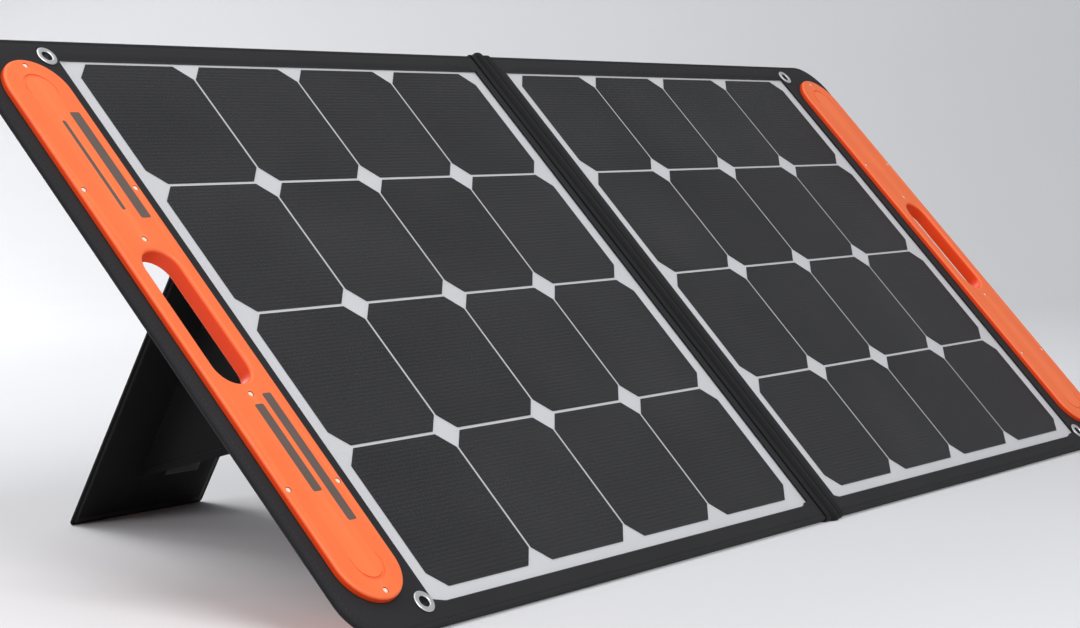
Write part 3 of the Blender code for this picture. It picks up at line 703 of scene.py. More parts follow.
def piece(name, mesh, finish, body, replaces=(), matrix=PANEL, sharp=35):
    """Turn a drawn mesh into a finished piece that rides with a body."""
    mesh.transform(matrix)
    thing = in_scene(name, mesh)
    thing.data.materials.append(FINISH[finish])
    thing.data.shade_smooth()
    thing.data.set_sharp_from_angle(angle=math.radians(sharp))
    if body:
        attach(thing, body)
    if replaces:
        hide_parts(*replaces)
    return thing


def ripple(x, y, size, seed=0.0):
    """Soft unevenness from -1 to 1 whose waves are about size long."""
    return noise.noise(Vector((x / size, y / size, seed)))


print("pieces can be made")

# %% [markdown]
# ## Stitches
#
# A lockstitch shows as short grains of thread with small gaps, sunk a little in the
# cloth. A bump pattern would leave them flat in the shape, so each one is real: six
# points make a grain like rice. A whole row is one mesh, since nobody moves one stitch.


# %% Sew along a path
STITCH = 3.1 * MM
STITCH_GAP = 1.0 * MM
STITCH_WIDE = 0.6 * MM


def sew(path, up, closed=False, mesh=None, stitch=STITCH, gap=STITCH_GAP, width=STITCH_WIDE):
    """Rice-shaped stitches along a path of points, raised along up."""
    mesh = mesh or bmesh.new()
    points = [Vector(p) for p in path] + ([Vector(path[0])] if closed else [])
    reach = [0.0]
    for a, b in zip(points, points[1:]):
        reach.append(reach[-1] + (b - a).length)
    leg = 0

    def at(distance):
        nonlocal leg
        while leg < len(points) - 2 and reach[leg + 1] < distance:
            leg += 1
        share = (distance - reach[leg]) / max(reach[leg + 1] - reach[leg], 1e-9)
        return points[leg].lerp(points[leg + 1], share)

    up = Vector(up).normalized()
    for number in range(int(reach[-1] / (stitch + gap))):
        start = number * (stitch + gap) + gap / 2
        a, middle, b = at(start), at(start + stitch / 2), at(start + stitch)
        sidewise = (b - a).cross(up).normalized() * width / 2
        rise = up * width * 0.45
        ring = [middle + sidewise, middle + rise, middle - sidewise, middle - rise]
        ring = [mesh.verts.new(p) for p in ring]
        for tip in (mesh.verts.new(a), mesh.verts.new(b)):
            for k in range(4):
                mesh.faces.new((ring[k - 1], ring[k], tip))
    return mesh


print("stitches of", round(STITCH * 1000, 1), "mm")

# %% [markdown]
# ## The cells
#
# Sixteen wafers stand on each half, in four strings. Their corners are cut straight,
# which is what leaves the white diamonds between them. The tabs that join a string run
# behind, so each wafer shows as an island of its own with a fine broken edge to catch
# light. The strings in the working model say where the columns and rows fall.

# %% Cut the wafers
WAFER_CUT = 13.5 * MM
WAFER_EDGE = 0.1 * MM


def wafer_path(cx, cy, size, grow):
    """A square with its corners cut straight, grown or shrunk."""
    half = size / 2 + grow
    flat = half - WAFER_CUT - 0.4 * grow
    ends = ((half, -flat), (half, flat), (flat, half), (-flat, half))
    points = ends + tuple((-x, -y) for x, y in ends)
    return [(cx + x, cy + y) for x, y in points]


for label in HALF:
    for number in range(1, 5):
        (x0, x1), (y0, y1), (low, high) = flat_box(f"right_cell_string_{number}")
        size = x1 - x0
        section = ((0.0, low), (0.0, high - WAFER_EDGE), (-WAFER_EDGE, high))
        string = bmesh.new()
        for row in range(4):
            cy = y0 + size / 2 + row * (y1 - y0 - size) / 3
            carried(lambda grow: wafer_path((x0 + x1) / 2, cy, size, grow), section,
                    hoop=False, caps=True, mesh=string)
        piece(f"{label}_wafers_{number}", string, f"wafer {label}", f"{label}_panel",
              [f"{label}_cell_string_{number}"], HALF[label])
print("wafers of", round(size * 1000, 1), "mm")

# %% [markdown]
# ## The fabric covers
#
# The lit side's cover is a black frame round the white sheet. It rolls over the panel's
# edge, with a pressed crease just inside, and meets the back's cover halfway down the
# edge. A flat shape with a bump would show a hard line there. So the cover is a grid
# whose outer lines run on past the edge, and one rule bends them round and down. Its
# two outer corners are squares bent into quarter circles, so the grid stays even.

# %% Cover the panel
FABRIC = 0.6 * MM
SPINE = flat_box("right_cover_front")[0][0]
CORNER = 35 * MM
ROLL = 1.6 * MM
WRAP = 0.8 * MM
CREASE_AT = 3.4 * MM
CREASE_DEEP = 0.45 * MM
CREASE_WIDE = 0.7 * MM
WAVE = 0.35 * MM
LAP = 4 * MM
film_x, film_y, _ = flat_box("right_front_film")
WINDOW_X = (film_x[0] + LAP, film_x[1] - LAP)
WINDOW_Y = (film_y[0] + LAP, film_y[1] - LAP)
RIM = [5 * MM, 4.2 * MM, 3.8 * MM, CREASE_AT, 3 * MM, 2.6 * MM, ROLL]
RIM += [ROLL * (1 - math.sin(math.pi / 2 * k / 4)) for k in range(1, 5)] + [-WRAP]
LIP = (0.6 * MM, 1.4 * MM, 2.6 * MM)


def outside_window(x, y):
    """How far a spot is from the window, negative inside it."""
    return max(WINDOW_X[0] - x, x - WINDOW_X[1], WINDOW_Y[0] - y, y - WINDOW_Y[1])


def bend_corner(x, y):
    """Bend the square corners of the outer edge into quarter circles."""
    cx = EDGE - CORNER
    for cy, up in ((HEIGHT - CORNER, 1), (CORNER, -1)):
        dx, dy = x - cx, (y - cy) * up
        if dx > 0 and dy > 0:
            out, rise = round_corner(dx, dy, CORNER)
            return cx + out, cy + up * rise
    return min(x, EDGE), min(max(y, 0.0), HEIGHT)


def cover_point(x, y, front, seed):
    """Where the cloth lies: flat, rolled down at the outer edges, creased inside them."""
    depth = min(EDGE - x, y, HEIGHT - y)
    if depth >= ROLL:
        drop = CREASE_DEEP * math.exp(-((depth - CREASE_AT) / CREASE_WIDE) ** 2)
    elif depth > 0:
        drop = ROLL - math.sqrt(ROLL ** 2 - (ROLL - depth) ** 2)
    else:
        drop = ROLL - depth
    calm = min(1.0, max(0.0, (depth - 5 * MM) / (15 * MM)))
    if front:
        lip = outside_window(x, y)
        drop += (0.3 * MM * math.exp(-lip / (0.5 * MM))
                 - 0.12 * MM * math.exp(-((lip - LIP[2]) / MM) ** 2))
        calm *= min(1.0, lip / (12 * MM))
    drop += WAVE * calm * ripple(x, y, 70 * MM, seed)
    px, py = bend_corner(x, y)
    return px, py, -drop if front else BACK + drop


def capsule(cx, cy, wide, tall, grow=0.0):
    """A slot with round ends."""
    return outline(cx, cy, wide, tall, wide / 2, grow, arc=16, run=24)


handle_x, handle_y, handle_z = flat_box("right_handle_front")
HANDLE = ((handle_x[0] + handle_x[1]) / 2, (handle_y[0] + handle_y[1]) / 2)
HANDLE_WIDE, HANDLE_LONG = handle_x[1] - handle_x[0], handle_y[1] - handle_y[0]
GRIP_WIDE, GRIP_LONG = 33 * MM, 118 * MM
COLLAR = 2 * MM
GAP = 0.3 * MM
EYE_RADIUS = 4.25 * MM
EYE_WALL = 0.95 * MM
EYE_FLANGE = 8.5 * MM
CUT_DEPTH = 15 * MM


def middle_of(node):
    """The middle of a part in the panel's flat frame."""
    return [sum(limits) / 2 for limits in flat_box(node)]


EYES = [middle_of(f"right_grommet_{end}")[:2] for end in ("upper", "lower")]


def through_holes():
    """Tools for the grip and the two eyelets, through every layer."""
    ends = ((0.0, -CUT_DEPTH), (0.0, CUT_DEPTH))
    lined = COLLAR + GAP

    def grip(grow):
        return capsule(*HANDLE, GRIP_WIDE, GRIP_LONG, grow + lined)

    mesh = carried(grip, ends, hoop=False, caps=True)
    for x, y in EYES:
        size = 2 * (EYE_RADIUS + EYE_WALL + GAP)

        def eye(grow, x=x, y=y, size=size):
            return capsule(x, y, size, size, grow)

        carried(eye, ends, hoop=False, caps=True, mesh=mesh)
    return mesh


def make_cover(label, front):
    """Front or back cover of one half: grid, thickness, holes and its cloth."""
    seed = {"left": 3.1, "right": 7.7}[label] + front
    lips = (0.0, *LIP) if front else ()
    lips_x, lips_y = (
        [low - d for d in lips] + [high + d for d in lips] for low, high in (WINDOW_X, WINDOW_Y))
    round_lines = [CORNER * k / 9 for k in range(2, 10)]
    xs = ruled(SPINE, EDGE - RIM[0], 12 * MM, *lips_x, *(EDGE - d for d in round_lines))
    xs += [EDGE - d for d in RIM[1:]]
    low, high = RIM[:0:-1], [HEIGHT - d for d in RIM[1:]]
    rows = ruled(RIM[0], HEIGHT - RIM[0], 12 * MM, *lips_y, *round_lines,
                 *(HEIGHT - d for d in round_lines))
    keep = (lambda x, y: outside_window(x, y) > 0) if front else None
    mesh = skin(xs, low + rows + high, lambda x, y: cover_point(x, y, front, seed), keep)
    thicken(mesh, FABRIC if front else -FABRIC)
    face = "front" if front else "back"
    cover = piece(
        f"{label}_{face}_cloth", carve(mesh, through_holes()), "cloth", f"{label}_panel",
        [f"{label}_cover_{face}"], HALF[label],
    )
    wide, tall = EDGE - SPINE, HEIGHT
    if front:  # a frame sewn from strips: their whole length, and their mean width
        window = (WINDOW_X[1] - WINDOW_X[0], WINDOW_Y[1] - WINDOW_Y[0])
        area, tall = wide * tall - window[0] * window[1], wide + tall + sum(window)
        wide = area / tall
    return cover


for label in HALF:
    for front in (True, False):
        cover = make_cover(label, front)
        print(cover.name, len(cover.data.polygons), "faces")

# %% [markdown]
# ## Edge hem and seams
#
# Between the covers, a folded strip of the same cloth fills the edge, and a row of
# stitches in the crease holds all three. Both follow the same path: along the bottom,
# round two corners and back along the top. The fold side has no hem, since the fold's
# own cloth closes it.


# %% Hem and edge stitches
def rim_path(depth, start):
    """The edge's line, a given depth inside it: bottom, outer side and top."""
    arc, run = 10, 40
    r = CORNER - depth
    cx, out = EDGE - CORNER, EDGE - depth
    bottom = [(start + (cx - start) * k / run, depth) for k in range(run)]
    turns = [math.pi / 2 * k / arc for k in range(arc + 1)]
    low = [(cx + r * math.sin(a), CORNER - r * math.cos(a)) for a in turns]
    side = [(out, CORNER + (HEIGHT - 2 * CORNER) * k / run) for k in range(1, run)]
    rising = bottom + low + side[: run // 2]
    return rising + [(x, HEIGHT - y) for x, y in reversed(rising)]


hem_z = flat_box("right_edge_hem")[2]
HEM = (0.9 * MM, 6 * MM)
section = outline(sum(HEM) / 2, sum(hem_z) / 2, HEM[1] - HEM[0], hem_z[1] - hem_z[0], MM,
                  arc=3, run=3)
for label in HALF:
    paths = [(rim_path(depth, SPINE), z) for depth, z in section]
    rings = [[(*path[j], z) for path, z in paths] for j in range(len(paths[0][0]))]
    piece(f"{label}_hem", loft(rings, caps=True), "cloth", f"{label}_panel",
          [f"{label}_edge_hem"], HALF[label])
    for face, z, up in (("front", -0.1 * MM, 1), ("back", BACK + 0.1 * MM, -1)):
        path = [(x, y, z) for x, y in rim_path(CREASE_AT, SPINE + 14 * MM)]
        piece(f"{label}_{face}_edge_stitches", sew(path, (0, 0, up)), "thread",
              f"{label}_panel", matrix=HALF[label])
print("hems", round((HEM[1] - HEM[0]) * 1000, 1), "mm wide")

# %% [markdown]
# ## The fold
#
# A band of cloth wraps the gap between the halves, front and back, so that the panel can
# close like a book. It lies in two soft valleys with a ridge between them, which is the
# slack it needs. As a hinge it must bend, so its grid is fine across the fold.

# %% Wrap the fold
BAND = 14 * MM
VALLEY = 5.6 * MM
BAND_START = 3 * MM
BAND_SEAM = 2.2 * MM
FLOOR_ROOM = 0.3 * MM


def band_height(x):
    """How far the band stands off the panel's face."""
    side = abs(x)
    ridge = 1.4 * math.exp(-((x / (3.6 * MM)) ** 4))
    valley = 1.9 * math.exp(-(((side - VALLEY) / (1.1 * MM)) ** 2))
    return (0.92 + ridge - valley) * MM


def band_point(turn, x):
    """Round the panel: up the front, over the top edge, down the back, under the foot."""
    half = band_height(x) - BACK / 2
    proud = (0.9 + 2.8 * math.exp(-((x / (4.6 * MM)) ** 4))) * MM
    lap, along = divmod(turn, 2.0)
    if along <= 1.0:
        y = BAND_START + (HEIGHT - 2 * BAND_START) * along
        wave = 0.2 * MM * ripple(x, y, 25 * MM, 5.0 + lap)
        y, z = (y, half + wave) if lap == 0 else (HEIGHT - y, -half - wave)
    else:
        angle = math.pi * (along - 1.0)
        out = (BAND_START + proud) * math.sin(angle) ** 0.7
        z = half * math.copysign(abs(math.cos(angle)) ** 0.8, math.cos(angle))
        y, z = (HEIGHT - BAND_START + out, z) if lap == 0 else (BAND_START - out, -z)
    z += BACK / 2
    floor_y = (FLOOR_ROOM - ORIGIN.z - z * OUTWARD.z) / SLOPE.z
    return x, max(y, floor_y), z


runs = [k / 60 for k in range(60)]
bends = [1 + k / 8 for k in range(8)]
turns = [lap + t for lap in (0, 2) for t in runs + bends]
across = ruled(-BAND, BAND, 0.8 * MM)
band = thicken(skin(turns, across, band_point, tube=True), FABRIC)
fold_cloth = piece("fold_cloth", band, "cloth fold painted shade", None, ["spine_front", "spine_back"])
stitches = bmesh.new()
for x in (BAND_SEAM - BAND, BAND - BAND_SEAM):
    for lap, up in ((0, 1), (2, -1)):
        row = [band_point(lap + k / 60, x) for k in range(61)]
        sew(row, (0, 0, up), mesh=stitches)
fold_stitches = piece("fold_stitches", stitches, "thread", None)

lead_x, lead_y, lead_z = flat_box("fold_lead")
RIB = 3 * MM
lead = skin(ruled(*lead_x, MM), ruled(*lead_y, 2 * MM),
            lambda x, y: (x, y, lead_z[1] - 0.15 * MM * abs(math.sin(y * math.pi / RIB))))
fold_lead = piece("fold_flat_lead", thicken(lead, lead_z[1] - lead_z[0]), "rubber", None,
                  ["fold_lead"])
middle_y = HEIGHT / 2
for thing in (fold_cloth, fold_stitches, fold_lead):
    start, end = (PANEL @ Vector((s * SPINE, middle_y, FOLD_Z)) for s in (-1, 1))
    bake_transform(thing)
round_panel = 2 * (HEIGHT - BACK)
print("fold band", round(2000 * BAND), "mm wide and", round(round_panel, 3), "m round")

# %% [markdown]
# ## The handles
#
# Each outer edge carries an orange moulding clamped through the panel. Its front half has
# a round edge, a soft rim round the grip, and a collar that lines the slot. A Boolean and
# a bevel would leave a poor surface on so long a part. So one section is carried round:
# up the outer edge, across the flat, over the rim and down the collar. An extra ring
# just inside each round keeps the flat truly flat when it is shaded smooth. Two curved
# grooves show where the magnets sit that hold the folded panel shut.

# %% Front and back mouldings
EDGE_ROUND = 2.2 * MM
GRIP_ROUND = 2.8 * MM
HOLD = 0.4 * MM
GROOVE_RADIUS = 13.6 * MM
GROOVE_DEPTH = 0.95 * MM
GROOVE_SWEEP = 220
top, bottom = handle_z[1], handle_z[0]


def outer(grow):
    """The moulding's outline."""
    return capsule(*HANDLE, HANDLE_WIDE, HANDLE_LONG, grow)


def inner(grow):
    """The grip's outline."""
    return capsule(*HANDLE, GRIP_WIDE, GRIP_LONG, grow)


def front_rings():
    """The front moulding's section, from its foot over the flat and down the collar."""
    side = [(-0.4 * MM, GAP), (0, GAP + 0.4 * MM), (0, top - EDGE_ROUND - HOLD)]
    side += [(-up, top - EDGE_ROUND + out) for out, up in quarter(EDGE_ROUND)]
    side += [(-EDGE_ROUND - HOLD, top)]
    mouth = [(GRIP_ROUND + HOLD, top)]
    mouth += [(GRIP_ROUND - out, top - up) for out, up in quarter(GRIP_ROUND)]
    mouth += [(0, top - GRIP_ROUND - HOLD), (0, bottom + 0.5 * MM), (0.5 * MM, bottom)]
    mouth += [(COLLAR, bottom), (COLLAR, GAP)]
    return levels(outer, side) + levels(inner, mouth)


def rod(x, y, radius, low, high, mesh):
    """A straight rod, to cut a pin's hole."""
    def ring(grow):
        return outline(x, y, 2 * radius, 2 * radius, radius, grow, arc=6)

    return carried(ring, ((0.0, low), (0.0, high)), hoop=False, caps=True, mesh=mesh)


def groove(x, y, z, towards, mesh):
    """An open ring round a magnet, thin at its ends, to cut a shallow channel."""
    rings = []
    turns = [2 * math.pi * s / 10 for s in range(10)]
    for k in range(29):
        angle = towards + math.radians(-GROOVE_SWEEP / 2 + GROOVE_SWEEP * k / 28)
        deep = GROOVE_DEPTH * math.sin(math.pi * (k + 0.6) / 29.2) ** 0.3
        section = [(GROOVE_RADIUS + 1.35 * deep * math.cos(a), deep * math.sin(a)) for a in turns]
        rings.append([(x + r * math.cos(angle), y + r * math.sin(angle), z + h)
                      for r, h in section])
    return loft(rings, caps=True, mesh=mesh)


PIN_HOLE = 2.3 * MM
PIN_ACROSS = 25 * MM
PAIRS_ALONG = (115.6 * MM, -146.9 * MM)
end_pin = HANDLE_LONG / 2 - 6.5 * MM
grip_pin = GRIP_LONG / 2 + 10 * MM
PINS = [(0, end_pin), (0, grip_pin), (0, -grip_pin), (0, -end_pin)]
PINS += [(x * PIN_ACROSS, y) for x in (-1, 1) for y in PAIRS_ALONG]
MAGNETS = [middle_of(f"right_magnet_{end}")[:2] for end in ("upper", "lower")]

for label in HALF:
    tool = bmesh.new()
    for dx, dy in PINS:
        rod(HANDLE[0] + dx, HANDLE[1] + dy, PIN_HOLE, -5 * MM, top + 5 * MM, tool)
    for (x, y), towards in zip(MAGNETS, (math.pi / 2, -math.pi / 2)):
        groove(x, y, top, towards, tool)
    front = carve(loft(front_rings(), hoop=True), tool)
    piece(f"{label}_grip_front", front, "orange", f"{label}_panel",
          [f"{label}_handle_front"], HALF[label], sharp=28)
    back_z = flat_box(f"{label}_handle_back")[2]
    roll = (back_z[1] - back_z[0]) * 0.7
    side = [(0, back_z[1])] + [(-up, back_z[0] + roll - out) for out, up in quarter(roll)]
    side += [(-roll - HOLD, back_z[0])]
    lined = COLLAR + GAP
    mouth = [(lined + HOLD, back_z[0]), (lined, back_z[0] + HOLD), (lined, back_z[1])]
    back = loft(levels(outer, side) + levels(inner, mouth), hoop=True)
    piece(f"{label}_grip_back", back, "orange", f"{label}_panel",
          [f"{label}_handle_back"], HALF[label], sharp=28)
print("handles", round(HANDLE_WIDE * 1000, 1), "by", round(HANDLE_LONG * 1000), "mm")

# %% [markdown]
# ## Plain marks on one handle
#
# The real handle is printed. Here the print is only plain rounded bars, which say nothing,
# so the moulding keeps its balance of orange and dark. They are thin inlays and not
# painted on, so that they stay crisp from any side.

# %% Printed bars
BARS = (
    # from the handle's middle, in mm: across, along, then width and length
    (15.65, 138, 9.5, 100),
    (-0.05, 138, 3.4, 84),
    (13.95, -124, 8.5, 108),
    (0.45, -115, 8.5, 74),
)
INK_SECTION = ((0, top - 0.1 * MM), (0, top + 0.04 * MM), (-0.06 * MM, top + 0.1 * MM))
bars = bmesh.new()
for across, along, wide, long in BARS:
    def bar(grow):
        x, y = across * MM - HANDLE[0], HANDLE[1] + along * MM
        return outline(x, y, wide * MM, long * MM, 1.5 * MM, grow, arc=4)

    carried(bar, INK_SECTION, hoop=False, caps=True, mesh=bars)
piece("left_handle_bars", bars, "ink", "left_panel")
print(len(BARS), "bars")

# %% [markdown]
# ## Eyelets
#
# Four pressed metal eyelets take guy lines or hooks. Each is a tube with a rolled flange
# on both faces. Turning a profile round the hole is how the real part is drawn, and it
# gives the bright rolled ring its highlight.


# %% Turned eyelets
FRONT_ROLL = 1.2 * MM
BACK_ROLL = 1.0 * MM


def fatten(value, power=0.6):
    """Push a round out towards a square."""
    return math.copysign(abs(value) ** power, value)


def eyelet(x, y):
    """A tube with a flat-topped rolled flange at each end."""
    face, back = GAP, BACK - GAP
    wall = EYE_RADIUS + EYE_WALL
    centre, spread = (EYE_RADIUS + EYE_FLANGE) / 2, (EYE_FLANGE - EYE_RADIUS) / 2
    rolls = [math.pi * k / 12 for k in range(13)]
    rolls = [(spread * fatten(math.cos(a)), fatten(math.sin(a))) for a in rolls]
    section = [(wall, back), (wall, face)]
    section += [(centre + out, face + FRONT_ROLL * up) for out, up in rolls]
    section += [(centre - out, back - BACK_ROLL * up) for out, up in rolls]
    turns = [2 * math.pi * k / 48 for k in range(48)]
    return carried(lambda r: [(x + r * math.cos(t), y + r * math.sin(t)) for t in turns], section)


for label in HALF:
    for end, (x, y) in zip(("upper", "lower"), EYES):
        piece(f"{label}_{end}_eyelet", eyelet(x, y), "eyelet", f"{label}_panel",
              [f"{label}_grommet_{end}"], HALF[label], sharp=50)
print("eyelets at", [tuple(round(v, 3) for v in eye) for eye in EYES])

# %% [markdown]
# ## The legs
#
# Each leg is a stiff board in a sewn fabric sleeve. The sleeve is one tube with real
# walls, thin where its two layers are sewn together at the sides and the foot. A solid
# slab would look much the same from outside, but the true sleeve gives soft edges where
# the board ends, and its cloth has the area that a maker would cut. A groove down each
# face shows where the web is sewn in.

# %% Sew the leg sleeves
leg_x, leg_y, leg_z = flat_box("right_stand_cover", LEG)
LEG_MIDDLE, LEG_HALF_WIDE = sum(leg_x) / 2, (leg_x[1] - leg_x[0]) / 2
SEAM = 5 * MM
SEAM_LINES = [d * MM for d in (0.0, 0.4, 1.0, 2.0, 3.2, 4.4, 5.0, 6.2, 8.0)]
FOOT_CORNER = 3 * MM
web_x = middle_of("right_stand_web")[0]


def sleeve_section():
    """(x from the middle, share of full thickness) round the tube, top face then back."""
    edge = [0.0, 0.3, 1.0, 2.0, 3.2, 4.4, SEAM / MM, 6.2, 8.0]
    xs = [LEG_HALF_WIDE - d * MM for d in edge]
    seam_at = web_x - LEG_MIDDLE
    flat = ruled(-xs[-1], xs[-1], 9 * MM)[-2:0:-1]
    flat += [seam_at + step * MM for step in (-3, -2, -1.2, -0.5, 0, 0.5, 1.2, 2, 3)]
    xs += sorted(flat, reverse=True) + [-x for x in reversed(xs)]
    return [(x, 1) for x in xs] + [(x, -1) for x in xs[-2:0:-1]]


def puff(depth):
    """Half thickness share: sewn flat at the seam, full where the board starts."""
    if depth <= 0.5 * MM:
        return 0.30 + 0.3 * depth / (0.5 * MM)
    if depth < SEAM:
        return 0.52 - 0.10 * (depth / SEAM)
    return 0.42 + 0.58 * min(1.0, (depth - SEAM) / (3 * MM)) ** 0.6


def sleeve_point(spot, y, seed):
    """Where the sleeve lies, with the groove that the web is sewn into."""
    x, face = spot
    depth = max(0.0, min(LEG_HALF_WIDE - abs(x), y - leg_y[0]))
    along = min(1.0, max(0.0, (y - leg_y[0] - 12 * MM) / (4 * MM)))
    sunk = along * math.exp(-((LEG_MIDDLE + x - web_x) / (1.5 * MM)) ** 2)
    z = leg_z[1] * puff(depth) - 0.55 * MM * sunk
    z += 0.18 * MM * ripple(x + face, y, 45 * MM, seed) * min(1.0, depth / (20 * MM))
    dx, dy = abs(x) - LEG_HALF_WIDE + FOOT_CORNER, leg_y[0] + FOOT_CORNER - y
    if dx > 0 and dy > 0:
        out, down = round_corner(dx, dy, FOOT_CORNER)
        x = math.copysign(LEG_HALF_WIDE - FOOT_CORNER + out, x)
        y = leg_y[0] + FOOT_CORNER - down
    return LEG_MIDDLE + x, y, face * z


for label, seed in (("left", 1.5), ("right", 8.5)):
    ends = [leg_y[0] + d for d in SEAM_LINES]
    rows = ends + ruled(ends[-1], leg_y[1], 11 * MM)[1:]
    spots = sleeve_section()
    mesh = skin(spots, rows, lambda spot, y: sleeve_point(spot, y, seed), tube=True)
    at_foot = leg_y[0] + 8 * MM
    bmesh.ops.edgeloop_fill(mesh, edges=[
        e for e in mesh.edges if e.is_boundary and all(v.co.y < at_foot for v in e.verts)])
    inwards = FABRIC if mesh.calc_volume(signed=True) > 0 else -FABRIC
    sleeve = piece(f"{label}_leg_sleeve", thicken(mesh, inwards), "cloth leg", f"{label}_stand",
                   [f"{label}_stand_cover"], LEG_OF[label])
    stitches = bmesh.new()
    for up in (1, -1):
        z, z_web = up * leg_z[1] * 0.45, up * (leg_z[1] - 0.1 * MM)
        side, low = LEG_HALF_WIDE - SEAM + 0.8 * MM, leg_y[0] + SEAM - 0.8 * MM
        left, right = LEG_MIDDLE - side, LEG_MIDDLE + side
        path = [(left, leg_y[1] - 2 * MM, z), (left, low, z),
                (right, low, z), (right, leg_y[1] - 2 * MM, z)]
        for a, b in zip(path, path[1:]):
            sew([a, b], (0, 0, up), mesh=stitches)
        seam = [(web_x, leg_y[1] - 14 * MM, z_web), (web_x, leg_y[0] + 10 * MM, z_web)]
        sew(seam, (0, 0, up), mesh=stitches)
    thread = piece(f"{label}_leg_stitches", stitches, "thread", f"{label}_stand",
                   matrix=LEG_OF[label])
    2 * LEG_HALF_WIDE
    2 * (leg_y[1] - leg_y[0])
print("legs", round((leg_y[1] - leg_y[0]) * 1000), "mm long")

# %% [markdown]
# ## The leg's cloth hinge
#
# A leg has no pin. A strip of cloth sewn on the panel's back turns down over the hinge
# line and is sewn on the leg's outer face. Its route is two straight runs and one round,
# found from the angle at which the leg stands.

# %% Hinge strips
tape_x, tape_y, tape_z = flat_box("right_hinge_tape")
hinge_local = PANEL.inverted() @ HINGE
STRIP_ON_LEG = 26 * MM
STRIP_STEP = 2 * MM
BEND = 4 * MM
SKIM = leg_z[1] + GAP


def hinge_route():
    """(y, z) points along the strip's inner face, from the panel to the leg."""
    z = tape_z[1] - FABRIC * 0.2
    low_z = z - BEND
    reach = SKIM + BEND
    centre = hinge_local.y + (math.cos(OPEN) * (low_z - hinge_local.z) + reach) / math.sin(OPEN)
    run = tape_y[1] - centre
    points = [(tape_y[1] - run * k / 8, z) for k in range(8)]
    turns = [math.pi / 2 + OPEN * k / 8 for k in range(9)]
    points += [(centre + BEND * math.cos(a), low_z + BEND * math.sin(a)) for a in turns]
    y, z = points[-1]
    steps = [STRIP_STEP * k for k in range(1, round(STRIP_ON_LEG / STRIP_STEP) + 1)]
    return points + [(y - math.cos(OPEN) * d, z - math.sin(OPEN) * d) for d in steps]


route = hinge_route()
for label in HALF:
    across = ruled(tape_x[0], tape_x[1], 8 * MM)
    strip = skin(across, range(len(route)), lambda x, k: (
        x, route[k][0], route[k][1] + 0.12 * MM * ripple(x, k * STRIP_STEP, 20 * MM, 2.0)))
    strip = thicken(strip, -FABRIC * 0.8)
    cloth_strip = piece(f"{label}_hinge_strip", strip, "cloth", None,
                        [f"{label}_hinge_tape"], HALF[label])
    stitches = bmesh.new()
    ends = (tape_x[0] + 3 * MM, tape_x[1] - 3 * MM)
    for k in (1, 5, -2, -5):
        y, z = route[k]
        out = Vector((0, 0, -1) if k > 0 else (0, math.sin(OPEN), -math.cos(OPEN)))
        row = [Vector((x, y, z)) + out * FABRIC * 0.85 for x in ends]
        sew(row, out, mesh=stitches)
    thread = piece(f"{label}_hinge_stitches", stitches, "thread", None,
                   matrix=HALF[label])
    start = HALF[label] @ Vector((LEG_MIDDLE, hinge_local.y + 7 * MM, tape_z[0]))
    end = LEG_OF[label] @ Vector((LEG_MIDDLE, -6 * MM, -SKIM))
    for thing in (cloth_strip, thread):
        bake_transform(thing)
    long = sum(math.dist(a, b) for a, b in zip(route, route[1:]))
    tape_x[1] - tape_x[0]
print("hinge strips", round(long * 1000, 1), "mm long")

# %% [markdown]
# ## The webs
#
# A triangle of cloth between the panel's back and the leg stops the leg at its open
# angle. It hangs nearly flat, with a slight belly. When the leg closes, it folds up
# between leg and panel. A rigid piece can't follow that, so it rides on the panel.

# %% Hang the webs
def web_corners():
    """Neck and free ends of the web's two sewn edges, as (y, z)."""
    back = PANEL.inverted()
    local = {tuple(round(v, 5) for v in (back @ p)[1:]) for p in points_of("right_stand_web")}
    on_panel = sorted(p for p in local if p[1] > max(z for _, z in local) - MM)
    on_leg = sorted((p for p in local if p not in on_panel), key=lambda p: p[1])
    return on_panel[-1], on_panel[0], on_leg[-1], on_leg[0]


neck_panel, far_panel, neck_leg, far_leg = (Vector((0, *p)) for p in web_corners())


def web_point(u, v, seed):
    """u from the neck to the free edge, v from the panel to the leg."""
    spot = neck_panel.lerp(far_panel, u).lerp(neck_leg.lerp(far_leg, u), v)
    belly = 3.5 * MM * math.sin(math.pi * v) * math.sin(math.pi * min(1.0, u * 0.75))
    belly += 1.2 * MM * ripple(spot.y, spot.z, 60 * MM, seed) * math.sin(math.pi * v)
    return web_x - belly, spot.y, spot.z


def inside_web(depth, v, seed):
    """A spot this far in from the free edge, along the web's own lines."""
    long = (Vector(web_point(1, v, seed)) - Vector(web_point(0, v, seed))).length
    return Vector(web_point(1 - depth / long, v, seed))


